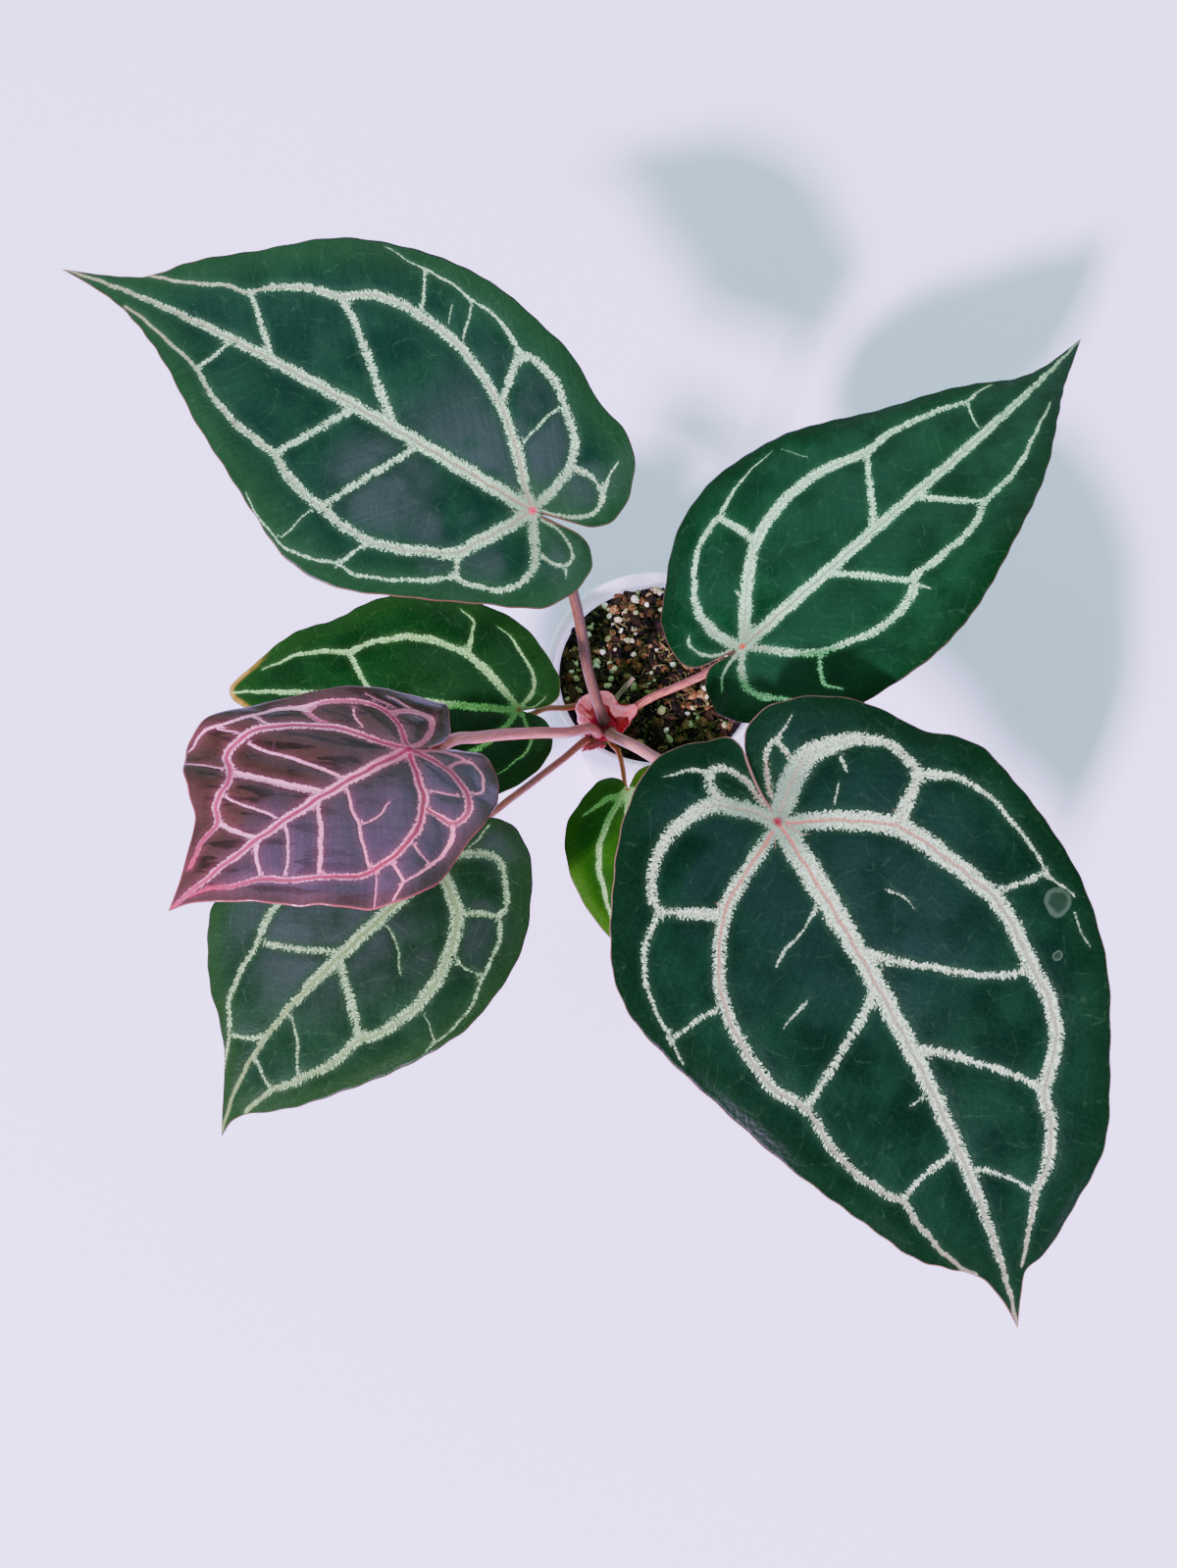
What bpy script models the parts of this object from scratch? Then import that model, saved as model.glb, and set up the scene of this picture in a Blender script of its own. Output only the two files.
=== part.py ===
"""A young anthurium with seven heart-shaped, pale-veined leaves, in its plastic nursery pot.

The frame is in metres with +Z up. The origin is the middle of the pot's flat base, and +Y is the side
away from the viewer. Leaf outlines are given in millimetres on the flattened blade: the first number
runs along the midrib from the petiole's joint to the tip, the second is the distance from the midrib.
"""

import math

import bpy
import numpy as np

MM = 0.001

# Pot: a thin-walled nursery pot of the 4-inch size, with a stepped band under its rolled rim.
POT_HEIGHT = 0.092
POT_RIM_RADIUS = 0.055
POT_BASE_RADIUS = 0.0385
POT_WALL = 0.0012
POT_FLOOR = 0.0016
POT_STEP_HEIGHT = 0.0805
POT_SEGMENTS = 48
DRAIN_HOLES = 8
DRAIN_HOLE_RADIUS = 0.0032
DRAIN_RING_RADIUS = 0.027

# Soil: a coarse bark mix, level with the rim's band and heaped a little in the middle.
SOIL_EDGE_HEIGHT = 0.0845
SOIL_MOUND = 0.0022
SOIL_RINGS = 13
SOIL_LUMPS = 110
SOIL_LUMP_HEIGHT = 0.0021

# Stem: short and thick, leaning to the light, with its foot in a plain hole in the soil.
STEM_FOOT = (-0.0284, -0.0209, 0.0690)
STEM_TOP = (-0.0272, -0.0397, 0.1035)
STEM_RADIUS = 0.0066

# Every piece keeps this distance from its neighbour.
GAP = 0.0003
BLADE_THICKNESS = 0.0008
PETIOLE_SIDES = 9
# A cross rib leaves the midrib this far behind the place where it meets the edge, per unit of width.
RIB_SLANT = 0.8
LOBE_STATIONS = 15
RIB_STATIONS = 15
# A lobe's stations lie as if each radian of turning were this many more millimetres of edge.
TURN_WEIGHT = 30.0
# Places across a half blade, from the midrib (0) to the edge (1); the arching side vein is at 0.62.
ACROSS = (0.0, 0.07, 0.34, 0.62, 0.82, 1.0)
SIDE_VEIN = 3

GREEN_DARK = (0.012, 0.060, 0.036, 1)
GREEN_MID = (0.018, 0.085, 0.040, 1)
GREEN_FRESH = (0.040, 0.150, 0.022, 1)
MAUVE = (0.150, 0.070, 0.085, 1)
STALK_MAUVE = (0.300, 0.140, 0.145, 1)
STALK_ROSE = (0.480, 0.200, 0.170, 1)
STALK_TAN = (0.380, 0.200, 0.100, 1)
CORAL = (0.720, 0.150, 0.140, 1)
PAPERY = (0.700, 0.360, 0.360, 1)

LEAVES = {
    "front_right": dict(
        joint=(0.0321, -0.1323, 0.2220), yaw=-61.1, pitch=0, roll=8, droop=36, length=196.2,
        sway=-9.8, bow=-6.3, fold=6, curl=2, lobe=3, wave=1.4, waves=5, colour=GREEN_DARK,
        left=[(-4, 0.5), (-14, 1.2), (-24, 3.0), (-30, 4.7), (-35.4, 8.8), (-38, 16), (-36.5, 26), (-31, 38),
              (-22, 49), (-9, 57.5), (-2, 61), (5, 68), (13, 73.5), (28, 76.5), (48, 79), (70, 79),
              (90, 74), (112, 66), (132, 57), (150, 46), (162, 33.5), (171, 23), (175.5, 15),
              (177, 8), (184, 4.2)],
        right=[(-4, 0.0), (-14, 0.6), (-24, 2.4), (-30, 3.9), (-35.5, 2.6), (-39.5, -6), (-42.3, -17),
               (-40.5, -28), (-34, -39), (-22, -52), (-8, -62.5), (6, -71.5), (18, -77), (32, -78.5),
               (50, -74.5), (70, -67.5), (92, -59), (114, -48.5), (134, -38), (150, -28.5), (161, -17.5),
               (170, -8.8), (182, -3.6)]),
    "back_left": dict(
        joint=(-0.0552, -0.0177, 0.2450), yaw=157.1, pitch=22, roll=-8, droop=32, length=208.5,
        sway=-18.2, bow=9.4, fold=6, curl=2, lobe=3, wave=1.3, waves=5, colour=GREEN_DARK,
        left=[(-3, 0.6), (-9, -0.4), (-15, -1.6), (-20, -1.8), (-24.5, 0), (-28.5, 6), (-29, 14), (-26, 23),
              (-20, 31), (-11, 36.5), (0, 42), (14, 49.5), (28, 56), (42, 62), (56, 64.7), (68, 63.5),
              (84, 56), (102, 46), (122, 35), (142, 22), (158, 13.5), (174, 7), (192, 3)],
        right=[(-3, -1.2), (-9, -2.8), (-16, -4.4), (-22, -6.2), (-27, -11), (-29.5, -20), (-28, -30),
               (-23, -40), (-14, -47), (-3, -51), (6, -57), (14, -61.5), (30, -65), (48, -68.5),
               (64, -69.5), (80, -67.8), (94, -63), (108, -56), (124, -46), (142, -33), (158, -20),
               (171, -9), (188, -3.4)]),
    "back_right": dict(
        joint=(0.0279, -0.0445, 0.1900), yaw=38.2, pitch=20, roll=-15, droop=30, length=217.2,
        sway=29.3, bow=7.3, fold=6, curl=2, lobe=3, wave=1.3, waves=5, colour=GREEN_MID,
        left=[(-3, 1.6), (-9, 3.6), (-15, 5.4), (-20, 8.5), (-22.3, 14), (-21, 24), (-16, 36), (-7, 46),
              (4, 57), (16, 65), (30, 70), (46, 73.4), (62, 72), (78, 66), (90, 58), (104, 50),
              (124, 39.5), (144, 27), (160, 17.5), (172, 9.5), (186, 4.2), (202, 1.8)],
        right=[(-3, 0.3), (-9, 2.2), (-15, 2.8), (-20, 0.2), (-24, -8), (-25.3, -17), (-22, -26),
               (-14, -36.5), (-3, -46), (10, -53.5), (26, -58.5), (44, -61.5), (64, -59.5), (84, -54.5),
               (104, -48), (124, -40.5), (144, -31.5), (164, -20.5), (184, -10.5), (202, -4.5)]),
    "front_left": dict(
        joint=(-0.0931, -0.1327, 0.1760), yaw=-131.2, pitch=6, roll=4, droop=32, length=129.6,
        sway=-23.6, bow=27.7, fold=6, curl=2, lobe=2, wave=1.1, waves=4, colour=GREEN_MID,
        left=[(-3, 1), (-10, 0.2), (-18, -1.4), (-25, -2.2), (-29.5, 1), (-32, 8), (-30, 17), (-24, 27.5),
              (-14, 36.5), (0, 46.5), (12, 51.5), (28, 55), (40, 56), (50, 54), (66, 48), (84, 38.5),
              (98, 28.5), (110, 16.5), (118, 6.8), (123, 2.8)],
        right=[(-3, -1.2), (-10, -3.6), (-18, -6), (-25, -8.6), (-29, -14), (-29.5, -22), (-25, -32),
               (-14, -42), (0, -48.5), (18, -53.5), (38, -55.3), (56, -53.8), (70, -50), (80, -42.5),
               (90, -31.5), (98, -18.5), (106, -10.5), (117, -4.6)]),
    "mid_left": dict(
        joint=(-0.0659, -0.0436, 0.1305), yaw=181.5, pitch=12, roll=0, droop=30, length=136.0,
        sway=-24.3, bow=8.5, fold=6, curl=2, lobe=2, wave=1.0, waves=4, colour=GREEN_FRESH,
        left=[(-3, 0.8), (-8, 1.8), (-12, 4), (-15, 10), (-14, 20), (-8, 30), (2, 38), (16, 45), (34, 49.5),
              (52, 49), (72, 43), (92, 33), (110, 21.5), (122, 12), (129, 7), (134, 3.4)],
        right=[(-3, -0.8), (-8, -1.4), (-14, -3.4), (-18.5, -8.5), (-19, -17), (-13, -28.5), (-3, -41),
               (8, -48.5), (24, -54), (40, -56), (54, -53.5), (70, -47.5), (86, -38), (100, -32),
               (114, -22.5), (126, -12.5), (133, -6.6), (136, -2.6)]),
    "small_front": dict(
        joint=(-0.0169, -0.0781, 0.1200), yaw=-90.5, pitch=4, roll=0, droop=30, length=77.0,
        sway=0, bow=0, fold=6, curl=1, lobe=1, wave=0.6, waves=4, colour=GREEN_FRESH,
        left=[(-2, 1.2), (-6, 2.4), (-10, 5), (-12.5, 10), (-11, 16), (-5, 22), (4, 26.5), (17, 28.5),
              (30, 27.5), (44, 22), (56, 14.5), (65, 7.5), (71, 3)],
        right=[(-2, -1), (-4.5, -2.6), (-6, -7), (-4.5, -12), (0, -16.5), (8, -22), (17, -27), (28, -27.8),
               (40, -25.3), (52, -19.5), (62, -12.5), (69, -6), (73, -2.4)]),
    "new_pink": dict(
        joint=(-0.0971, -0.1105, 0.2350), yaw=-138.0, pitch=30, roll=2, droop=34, length=97.6,
        sway=2.4, bow=-0.8, fold=4, curl=3, lobe=2, wave=1.6, waves=6, colour=MAUVE,
        left=[(-3, 1.9), (-8, 4), (-13, 5.4), (-18, 7.6), (-22, 12), (-23.2, 19), (-20, 27), (-12, 34),
              (0, 39.5), (12, 43), (24, 47.5), (34, 48.5), (43, 46.3), (54, 39.5), (66, 27.5), (78, 15),
              (86, 7), (92, 2.4)],
        right=[(-3, 0.6), (-8, 2.2), (-13, 2.8), (-19, 0.8), (-25, -5), (-28, -12), (-25, -18),
               (-15, -25.5), (0, -33), (18, -39.8), (36, -45.2), (50, -47.3), (58, -45), (65, -38),
               (69.5, -28.5), (74, -19), (81, -12), (90, -5)]),
}

# Petioles: where each leaves the stem, as a height on the stem's axis and a bearing round it in degrees
# (those on the stem's top have "top" set), the points its middle line runs through, in millimetres, and
# its radius at the stem and at the blade.
PETIOLES = {
    "front_right": dict(top=True, bearing=-35, radius=(2.8, 2.4), colour=STALK_MAUVE, through=[
        (-24.6, -44.8, 108), (-19, -50.8, 114), (-12.3, -59.1, 124), (-5.2, -69.7, 136), (9.8, -91.4, 164),
        (22.9, -114.1, 197)]),
    "back_left": dict(top=True, bearing=90, radius=(2.6, 2.2), colour=STALK_MAUVE, through=[
        (-28.0, -37.8, 112), (-31, -35.8, 127), (-34.5, -31.7, 145), (-37, -27.4, 168), (-39.8, -23.8, 190),
        (-44.4, -20.8, 214)]),
    "new_pink": dict(top=True, bearing=215, radius=(2.6, 2.3), colour=STALK_MAUVE, through=[
        (-32.6, -44.6, 113), (-43.4, -54.4, 130), (-55.6, -64.4, 151), (-66.8, -74.4, 171),
        (-76.9, -86, 193), (-87.4, -98.4, 214)]),
    "back_right": dict(axis_height=95.5, bearing=24, radius=(2.0, 1.8), colour=STALK_ROSE, through=[
        (-15.2, -30.2, 101.5), (-6.6, -27.5, 109), (6.3, -28.9, 125), (15.7, -33.2, 144),
        (22.6, -38.4, 165)]),
    "front_left": dict(axis_height=99, bearing=225, radius=(1.9, 1.6), colour=STALK_MAUVE, through=[
        (-35.4, -44.8, 100.5), (-45.9, -57.4, 108), (-58.8, -74.2, 121), (-72.4, -94, 139),
        (-83.8, -113, 156)]),
    "mid_left": dict(axis_height=93, bearing=125, radius=(1.6, 1.4), colour=STALK_TAN, through=[
        (-37.3, -26, 98.5), (-46.2, -29, 103), (-55.3, -33.4, 111)]),
    "small_front": dict(axis_height=97, bearing=-62, radius=(1.35, 1.15), colour=STALK_TAN, through=[
        (-20.7, -48.6, 97.5), (-18.6, -59.2, 102)]),
}
OLD_STALK = dict(axis_height=95, bearing=66, radius=(1.5, 1.2), through=[
    (-21.4, -21.4, 97.2), (-12.6, -11.4, 100.4)])

# Sheaths left at the stem's top: the two bearings each spans, then, in millimetres, how far below the top
# it starts, its height, how far it flares out at its ends and at its widest, and where that lies (1 is half
# way round).
SHEATHS = {
    "sheath_right": dict(bearings=(-28, 112), base=-4.2, height=11.0, flare=(2.0, 9.5), skew=2.0),
    "sheath_left": dict(bearings=(122, 196), base=-4.6, height=8.0, flare=(3.0, 6.5), skew=0.8),
    "sheath_front": dict(bearings=(247, 284), base=-7.0, height=6.0, flare=(1.5, 4.5), skew=1.0),
}
SHEATH_RADIUS = 7.0
SHEATH_THICKNESS = 0.8


def unit(v):
    v = np.asarray(v, float)
    return v / np.linalg.norm(v, axis=-1, keepdims=True)


def turn(axis, degrees):
    """The matrix that turns a vector about one of the frame's axes."""
    c, s = math.cos(math.radians(degrees)), math.sin(math.radians(degrees))
    return {"x": np.array([[1, 0, 0], [0, c, -s], [0, s, c]]),
            "y": np.array([[c, 0, s], [0, 1, 0], [-s, 0, c]]),
            "z": np.array([[c, -s, 0], [s, c, 0], [0, 0, 1]])}[axis]


def smooth_path(points, steps):
    """A smooth curve through the points, with so many steps between neighbours."""
    p = np.asarray(points, float)
    chord = np.diff(p, axis=0)
    size = np.linalg.norm(chord, axis=1, keepdims=True)
    slope = chord / size
    inner = (slope[:-1] * size[1:] + slope[1:] * size[:-1]) / (size[1:] + size[:-1])
    slope = np.vstack([slope[0], inner, slope[-1]])
    t = np.linspace(0, 1, steps, endpoint=False)[:, None]
    runs = [(1 + 2 * t) * (1 - t) ** 2 * a + t**2 * (3 - 2 * t) * b
            + t * (1 - t) * d * ((1 - t) * m - t * n)
            for a, b, m, n, d in zip(p, p[1:], slope, slope[1:], size)]
    return np.vstack(runs + [p[-1][None]])


def spread(points, count):
    """The plane polyline read at so many places, closer together where it turns."""
    ahead = np.diff(points, axis=0)
    heading = np.unwrap(np.arctan2(ahead[:, 1], ahead[:, 0]))
    turning = np.abs(np.gradient(heading)) * TURN_WEIGHT
    along = np.concatenate([[0], np.cumsum(np.linalg.norm(ahead, axis=1) + turning)])
    at = np.linspace(0, along[-1], count)
    return np.stack([np.interp(at, along, points[:, k]) for k in range(points.shape[1])], axis=-1)


def make_material(name, colour, roughness=0.5, metallic=0.0):
    material = bpy.data.materials.new(name)
    material.use_nodes = True
    shader = material.node_tree.nodes["Principled BSDF"]
    shader.inputs["Base Color"].default_value = colour
    shader.inputs["Roughness"].default_value = roughness
    shader.inputs["Metallic"].default_value = metallic
    return material


def make_object(name, vertices, faces, material):
    mesh = bpy.data.meshes.new(name)
    mesh.from_pydata([tuple(v) for v in vertices], [], [tuple(f) for f in faces])
    mesh.materials.append(material)
    mesh.validate()
    mesh.shade_smooth()
    mesh.set_sharp_from_angle(angle=math.radians(40))
    obj = bpy.data.objects.new(name, mesh)
    bpy.context.scene.collection.objects.link(obj)
    return obj


def hide_cutter(obj):
    obj.hide_render = True
    obj.display_type = "WIRE"
    return obj


def cut(obj, cutter):
    modifier = obj.modifiers.new("Cut", "BOOLEAN")
    modifier.operation = "DIFFERENCE"
    modifier.solver = "EXACT"
    modifier.object = hide_cutter(cutter)


def tube(centres, radii, sides, groove=0.0, ends=None):
    """A closed tube along the centres, with a groove along its upper side and flat ends square to ends."""
    centres = np.asarray(centres, float)
    ahead = unit(np.gradient(centres, axis=0))
    if ends is not None:
        ahead[0], ahead[-1] = unit(ends[0]), unit(ends[1])
    side = unit(np.cross(ahead[0], (0.3, 0.2, 1.0)))
    vertices = []
    angles = np.linspace(0, 2 * math.pi, sides, endpoint=False)
    for centre, forward, radius in zip(centres, ahead, radii):
        side = unit(side - forward * np.dot(side, forward))
        up = np.cross(forward, side)
        for angle in angles:
            reach = radius * (1 - groove * max(0.0, math.sin(angle)) ** 4)
            vertices.append(centre + reach * (math.cos(angle) * side + math.sin(angle) * up))
    rings = len(centres)
    faces = []
    for i in range(rings - 1):
        for j in range(sides):
            a, b = i * sides + j, i * sides + (j + 1) % sides
            faces.append((a, b, b + sides, a + sides))
    faces.append(tuple(reversed(range(sides))))
    faces.append(tuple(range((rings - 1) * sides, rings * sides)))
    return vertices, faces


def lathe(profile, segments):
    """A solid turned about +Z from a profile that starts and ends on the axis and runs up the outside."""
    vertices, faces, rings = [], [], []
    for radius, height in profile:
        if radius == 0:
            rings.append([len(vertices)])
            vertices.append((0, 0, height))
            continue
        rings.append(list(range(len(vertices), len(vertices) + segments)))
        for k in range(segments):
            angle = 2 * math.pi * k / segments
            vertices.append((radius * math.cos(angle), radius * math.sin(angle), height))
    for low, high in zip(rings, rings[1:]):
        for k in range(segments):
            n = (k + 1) % segments
            if len(low) == 1:
                faces.append((low[0], high[n], high[k]))
            elif len(high) == 1:
                faces.append((low[k], low[n], high[0]))
            else:
                faces.append((low[k], low[n], high[n], high[k]))
    return vertices, faces


# The stem's axis, and the two directions square to it that the bearings are measured from.
STEM_AXIS = unit(np.subtract(STEM_TOP, STEM_FOOT))
STEM_EAST = unit(np.cross((0, 1, 0), STEM_AXIS))
STEM_NORTH = np.cross(STEM_AXIS, STEM_EAST)


def stem_point(axis_height, bearing, radius):
    """A point beside the stem: the height where its axis is met, in mm, then a bearing and a radius."""
    share = (axis_height * MM - STEM_FOOT[2]) / (STEM_TOP[2] - STEM_FOOT[2])
    on_axis = np.add(STEM_FOOT, share * np.subtract(STEM_TOP, STEM_FOOT))
    return on_axis + radius * outward(bearing)


def outward(bearing):
    return math.cos(math.radians(bearing)) * STEM_EAST + math.sin(math.radians(bearing)) * STEM_NORTH


def leaf_surface(leaf, s, w):
    """The upper face of a blade: midrib bent in an arc, halves folded up from it, then tilted and set."""
    s, w = np.asarray(s, float), np.asarray(w, float)
    length, bend = leaf["length"], math.radians(leaf["droop"])
    radius = length / bend
    angle = s / radius
    fold_round = 8.0
    rise = math.tan(math.radians(leaf["fold"])) * (np.sqrt(w * w + fold_round**2) - fold_round)
    rise = rise - leaf["curl"] * (w / 50) ** 2 + leaf["lobe"] * (np.clip(-s, 0, None) / 40) ** 2
    share = np.clip(s, 0, None) / length
    across = w + leaf["sway"] * share**2 + leaf["bow"] * share**4
    local = np.stack([radius * np.sin(angle) + rise * np.sin(angle), across,
                      -radius * (1 - np.cos(angle)) + rise * np.cos(angle)], axis=-1)
    matrix = turn("z", leaf["yaw"]) @ turn("y", -leaf["pitch"]) @ turn("x", leaf["roll"])
    return local @ matrix.T * MM + np.array(leaf["joint"])


def half_stations(leaf, side):
    """Pairs of midrib place and edge point: those of the lobe all start at the joint."""
    edge = smooth_path(leaf[side] + [(leaf["length"], 0)], 12)
    foot = np.maximum.accumulate(edge[:, 0] - RIB_SLANT * np.abs(edge[:, 1]))
    start = int(np.argmax(foot >= 0))
    lobe = spread(edge[: start + 1], LOBE_STATIONS)
    feet = np.linspace(0, leaf["length"], RIB_STATIONS + 1)[1:]
    ribs = np.stack([np.interp(feet, foot[start:], edge[start:, k]) for k in (0, 1)], axis=-1)
    return [(0.0, p) for p in lobe] + [(m, p) for m, p in zip(feet, ribs)]


def blade(leaf):
    """A closed blade: the same triangles above and below, with raised ribs beneath and a waved edge."""
    charts, lift, keel, index, triangles = [], [], [], {}, []

    def vertex(key, chart, up, rib):
        if key not in index:
            index[key] = len(charts)
            charts.append(chart)
            lift.append(up)
            keel.append(rib)
        return index[key]

    for sign, side in ((1, "left"), (-1, "right")):
        stations = half_stations(leaf, side)
        last = len(stations) - 1
        grid = []
        for i, (foot, edge) in enumerate(stations):
            row = []
            on_rib = i > LOBE_STATIONS and (i - LOBE_STATIONS) % 3 == 0
            width = np.linalg.norm(edge - (foot, 0))
            size = min(1.0, width / 40)
            for j, v in enumerate(ACROSS):
                chart = (foot + v * (edge[0] - foot), v * edge[1])
                wave = math.sin(2 * math.pi * leaf["waves"] * i / last + (1 + sign)) * leaf["wave"] * v**3
                pillow = 0.0 if j in (0, SIDE_VEIN, len(ACROSS) - 1) or on_rib else 0.9
                rib = 1.1 if j == 0 else 0.6 if j == SIDE_VEIN else 0.3 if on_rib and j < SIDE_VEIN else 0
                if i == last:
                    row.append(vertex("tip", (leaf["length"], 0), 0, 0))
                elif j == 0:
                    row.append(vertex(("midrib", foot), chart, 0, rib * (1 - foot / leaf["length"])))
                else:
                    row.append(vertex((sign, i, j), chart, size * (pillow + wave), rib * size))
            grid.append(row)
        for i in range(last):
            for j in range(len(ACROSS) - 1):
                a, b, c, d = grid[i][j], grid[i][j + 1], grid[i + 1][j + 1], grid[i + 1][j]
                for face in ((a, b, c), (a, c, d)):
                    if len(set(face)) == 3:
                        triangles.append(face if sign < 0 else face[::-1])
    charts = np.array(charts)
    base = leaf_surface(leaf, charts[:, 0], charts[:, 1])
    step = 0.5
    ahead = leaf_surface(leaf, charts[:, 0] + step, charts[:, 1]) - base
    leftward = leaf_surface(leaf, charts[:, 0], charts[:, 1] + step) - base
    normal = unit(np.cross(ahead, leftward))
    top = base + normal * np.array(lift)[:, None] * MM
    under = top - normal * (BLADE_THICKNESS + np.array(keel)[:, None] * MM)
    count = len(top)
    faces = list(triangles) + [tuple(count + k for k in reversed(f)) for f in triangles]
    directed = {(f[k], f[(k + 1) % 3]) for f in triangles for k in range(3)}
    for a, b in sorted(directed):
        if (b, a) not in directed:
            faces += [(b, a, count + a), (b, count + a, count + b)]
    joint = index[("midrib", 0.0)]
    return np.vstack([top, under]), faces, under[joint], normal[joint]


def petiole(spec, seat, normal):
    """A petiole from the stem to its blade: it comes up square to the blade's underside at the joint."""
    foot_radius, blade_radius = (r * MM for r in spec["radius"])
    if spec.get("top"):
        first = np.array(STEM_TOP) + 0.0036 * outward(spec["bearing"]) + GAP * STEM_AXIS
        leave = STEM_AXIS
    else:
        first = stem_point(spec["axis_height"], spec["bearing"], STEM_RADIUS + GAP)
        leave = outward(spec["bearing"])
    through = [np.array(p) * MM for p in spec["through"]]
    end = seat - GAP * normal
    back = through[-1] - end
    back = unit(back - normal * np.dot(back, normal))
    knee = [end - 0.0115 * normal + 0.0085 * back, end - 0.0060 * normal + 0.0022 * back, end]
    start = [first, first + 0.0022 * leave]
    line = smooth_path(start + through + knee, 4)
    reach = np.linspace(0, 1, len(line))
    radii = foot_radius + (blade_radius - foot_radius) * reach
    radii = radii * (1 + 0.18 * np.exp(-((1 - reach) / 0.05) ** 2))
    return tube(line, radii, PETIOLE_SIDES, 0.15, (leave, normal))


def sheath(spec):
    """A curved scale round one side of the stem's top, flaring outwards and lower towards its two ends."""
    columns, rows = 13, 4
    first, last = spec["bearings"]
    least, most = spec["flare"]
    inner, outer = [], []
    for u in np.linspace(0, 1, columns):
        swell = math.sin(math.pi * u ** spec["skew"])
        height = spec["height"] * (0.45 + 0.55 * swell**0.7 + 0.06 * math.sin(9 * u + first))
        for v in np.linspace(0, 1, rows + 1):
            place = np.array(STEM_TOP) + (spec["base"] + height * (v - 0.12 * swell * v**4)) * MM * STEM_AXIS
            radius = SHEATH_RADIUS + (least + (most - least) * swell) * v**1.7
            inner.append(place + radius * MM * outward(first + (last - first) * u))
            outer.append(place + (radius + SHEATH_THICKNESS) * MM * outward(first + (last - first) * u))
    wide, count = rows + 1, columns * (rows + 1)
    faces = []
    for i in range(columns - 1):
        for j in range(rows):
            a, b = i * wide + j, i * wide + j + 1
            c, d = b + wide, a + wide
            faces += [(a, b, c), (a, c, d), (count + c, count + b, count + a), (count + d, count + c, count + a)]
        for a, b in ((i * wide, (i + 1) * wide), ((i + 1) * wide + rows, i * wide + rows)):
            faces.append((a, b, count + b, count + a))
    for j in range(rows):
        for a, b in ((j + 1, j), (count - wide + j, count - wide + j + 1)):
            faces.append((a, b, count + b, count + a))
    return np.vstack([inner, outer]), faces


def soil_top(x, y):
    """Height of the heaped soil, with rounded lumps of bark and grit raised from it."""
    radius = np.hypot(x, y)
    height = SOIL_EDGE_HEIGHT + SOIL_MOUND * (1 - (radius / 0.049) ** 2)
    draw = np.random.default_rng(7)
    lumps = np.zeros_like(height)
    for _ in range(SOIL_LUMPS):
        angle, out = draw.uniform(0, 2 * math.pi), 0.047 * math.sqrt(draw.uniform(0, 1))
        size = draw.uniform(0.0025, 0.0060)
        near = np.hypot(x - out * math.cos(angle), y - out * math.sin(angle)) / size
        lumps = np.maximum(lumps, SOIL_LUMP_HEIGHT * draw.uniform(0.3, 1) * np.clip(1 - near**2, 0, None))
    return height + lumps


def build_pot(material):
    r, h, wall = POT_RIM_RADIUS, POT_HEIGHT, POT_WALL
    step, base = POT_STEP_HEIGHT, POT_BASE_RADIUS
    profile = [(0, 0), (base - 0.0013, 0), (base, 0.0013), (0.0506, step - 0.0005), (0.0532, step + 0.0025),
               (0.0537, h - 0.0036), (r - 0.0003, h - 0.0030), (r, h - 0.0018), (r - 0.0005, h - 0.0004),
               (r - 0.0014, h), (0.0528, h - 0.0004), (0.0524, h - 0.0014), (0.0537 - wall - 0.0002, step + 0.0035),
               (0.0506 - wall, step), (base - wall, POT_FLOOR), (0, POT_FLOOR)]
    pot = make_object("pot", *lathe(profile, POT_SEGMENTS), material)
    for k in range(DRAIN_HOLES):
        angle = 2 * math.pi * (k + 0.5) / DRAIN_HOLES
        x, y = DRAIN_RING_RADIUS * math.cos(angle), DRAIN_RING_RADIUS * math.sin(angle)
        ends = [(x, y, -0.004), (x, y, 0.006)]
        hole = make_object(f"drain_cutter_{k}", *tube(ends, [DRAIN_HOLE_RADIUS] * 2, 12), material)
        cut(pot, hole)
    return pot


def build_soil(material):
    inner_base, inner_step = POT_BASE_RADIUS - POT_WALL, 0.0506 - POT_WALL
    side = [(0, POT_FLOOR + GAP), (inner_base - 2 * GAP, POT_FLOOR + GAP), (inner_step - GAP, POT_STEP_HEIGHT)]
    crest = [(0.0492, SOIL_EDGE_HEIGHT - 0.0008)]
    rings = np.linspace(0.0484, 0, SOIL_RINGS)
    vertices, faces = lathe(side + crest + [(float(k), SOIL_EDGE_HEIGHT) for k in rings], POT_SEGMENTS)
    vertices = np.array(vertices)
    first_top = 1 + 3 * POT_SEGMENTS
    top = vertices[first_top:]
    top[:, 2] = soil_top(top[:, 0], top[:, 1])
    soil = make_object("soil", vertices, faces, material)
    low, high = stem_point(66.0, 0, 0.0), stem_point(112.0, 0, 0.0)
    hole = make_object("stem_cutter", *tube([low, high], [STEM_RADIUS + GAP] * 2, 20), material)
    cut(soil, hole)
    return soil


def build_stem(material):
    heights = (69.0, 71.5, 75.0, 80.0, 85.0, 89.0, 92.0, 94.5, 97.0, 99.5, 101.8, 103.5)
    girth = (0.55, 0.78, 0.90, 0.95, 0.90, 0.97, 0.93, 0.99, 0.95, 0.99, 0.97, 0.93)
    centres = [stem_point(h, 0, 0.0) for h in heights]
    return make_object("crown_stem", *tube(centres, [STEM_RADIUS * g for g in girth], 16), material)


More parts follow.
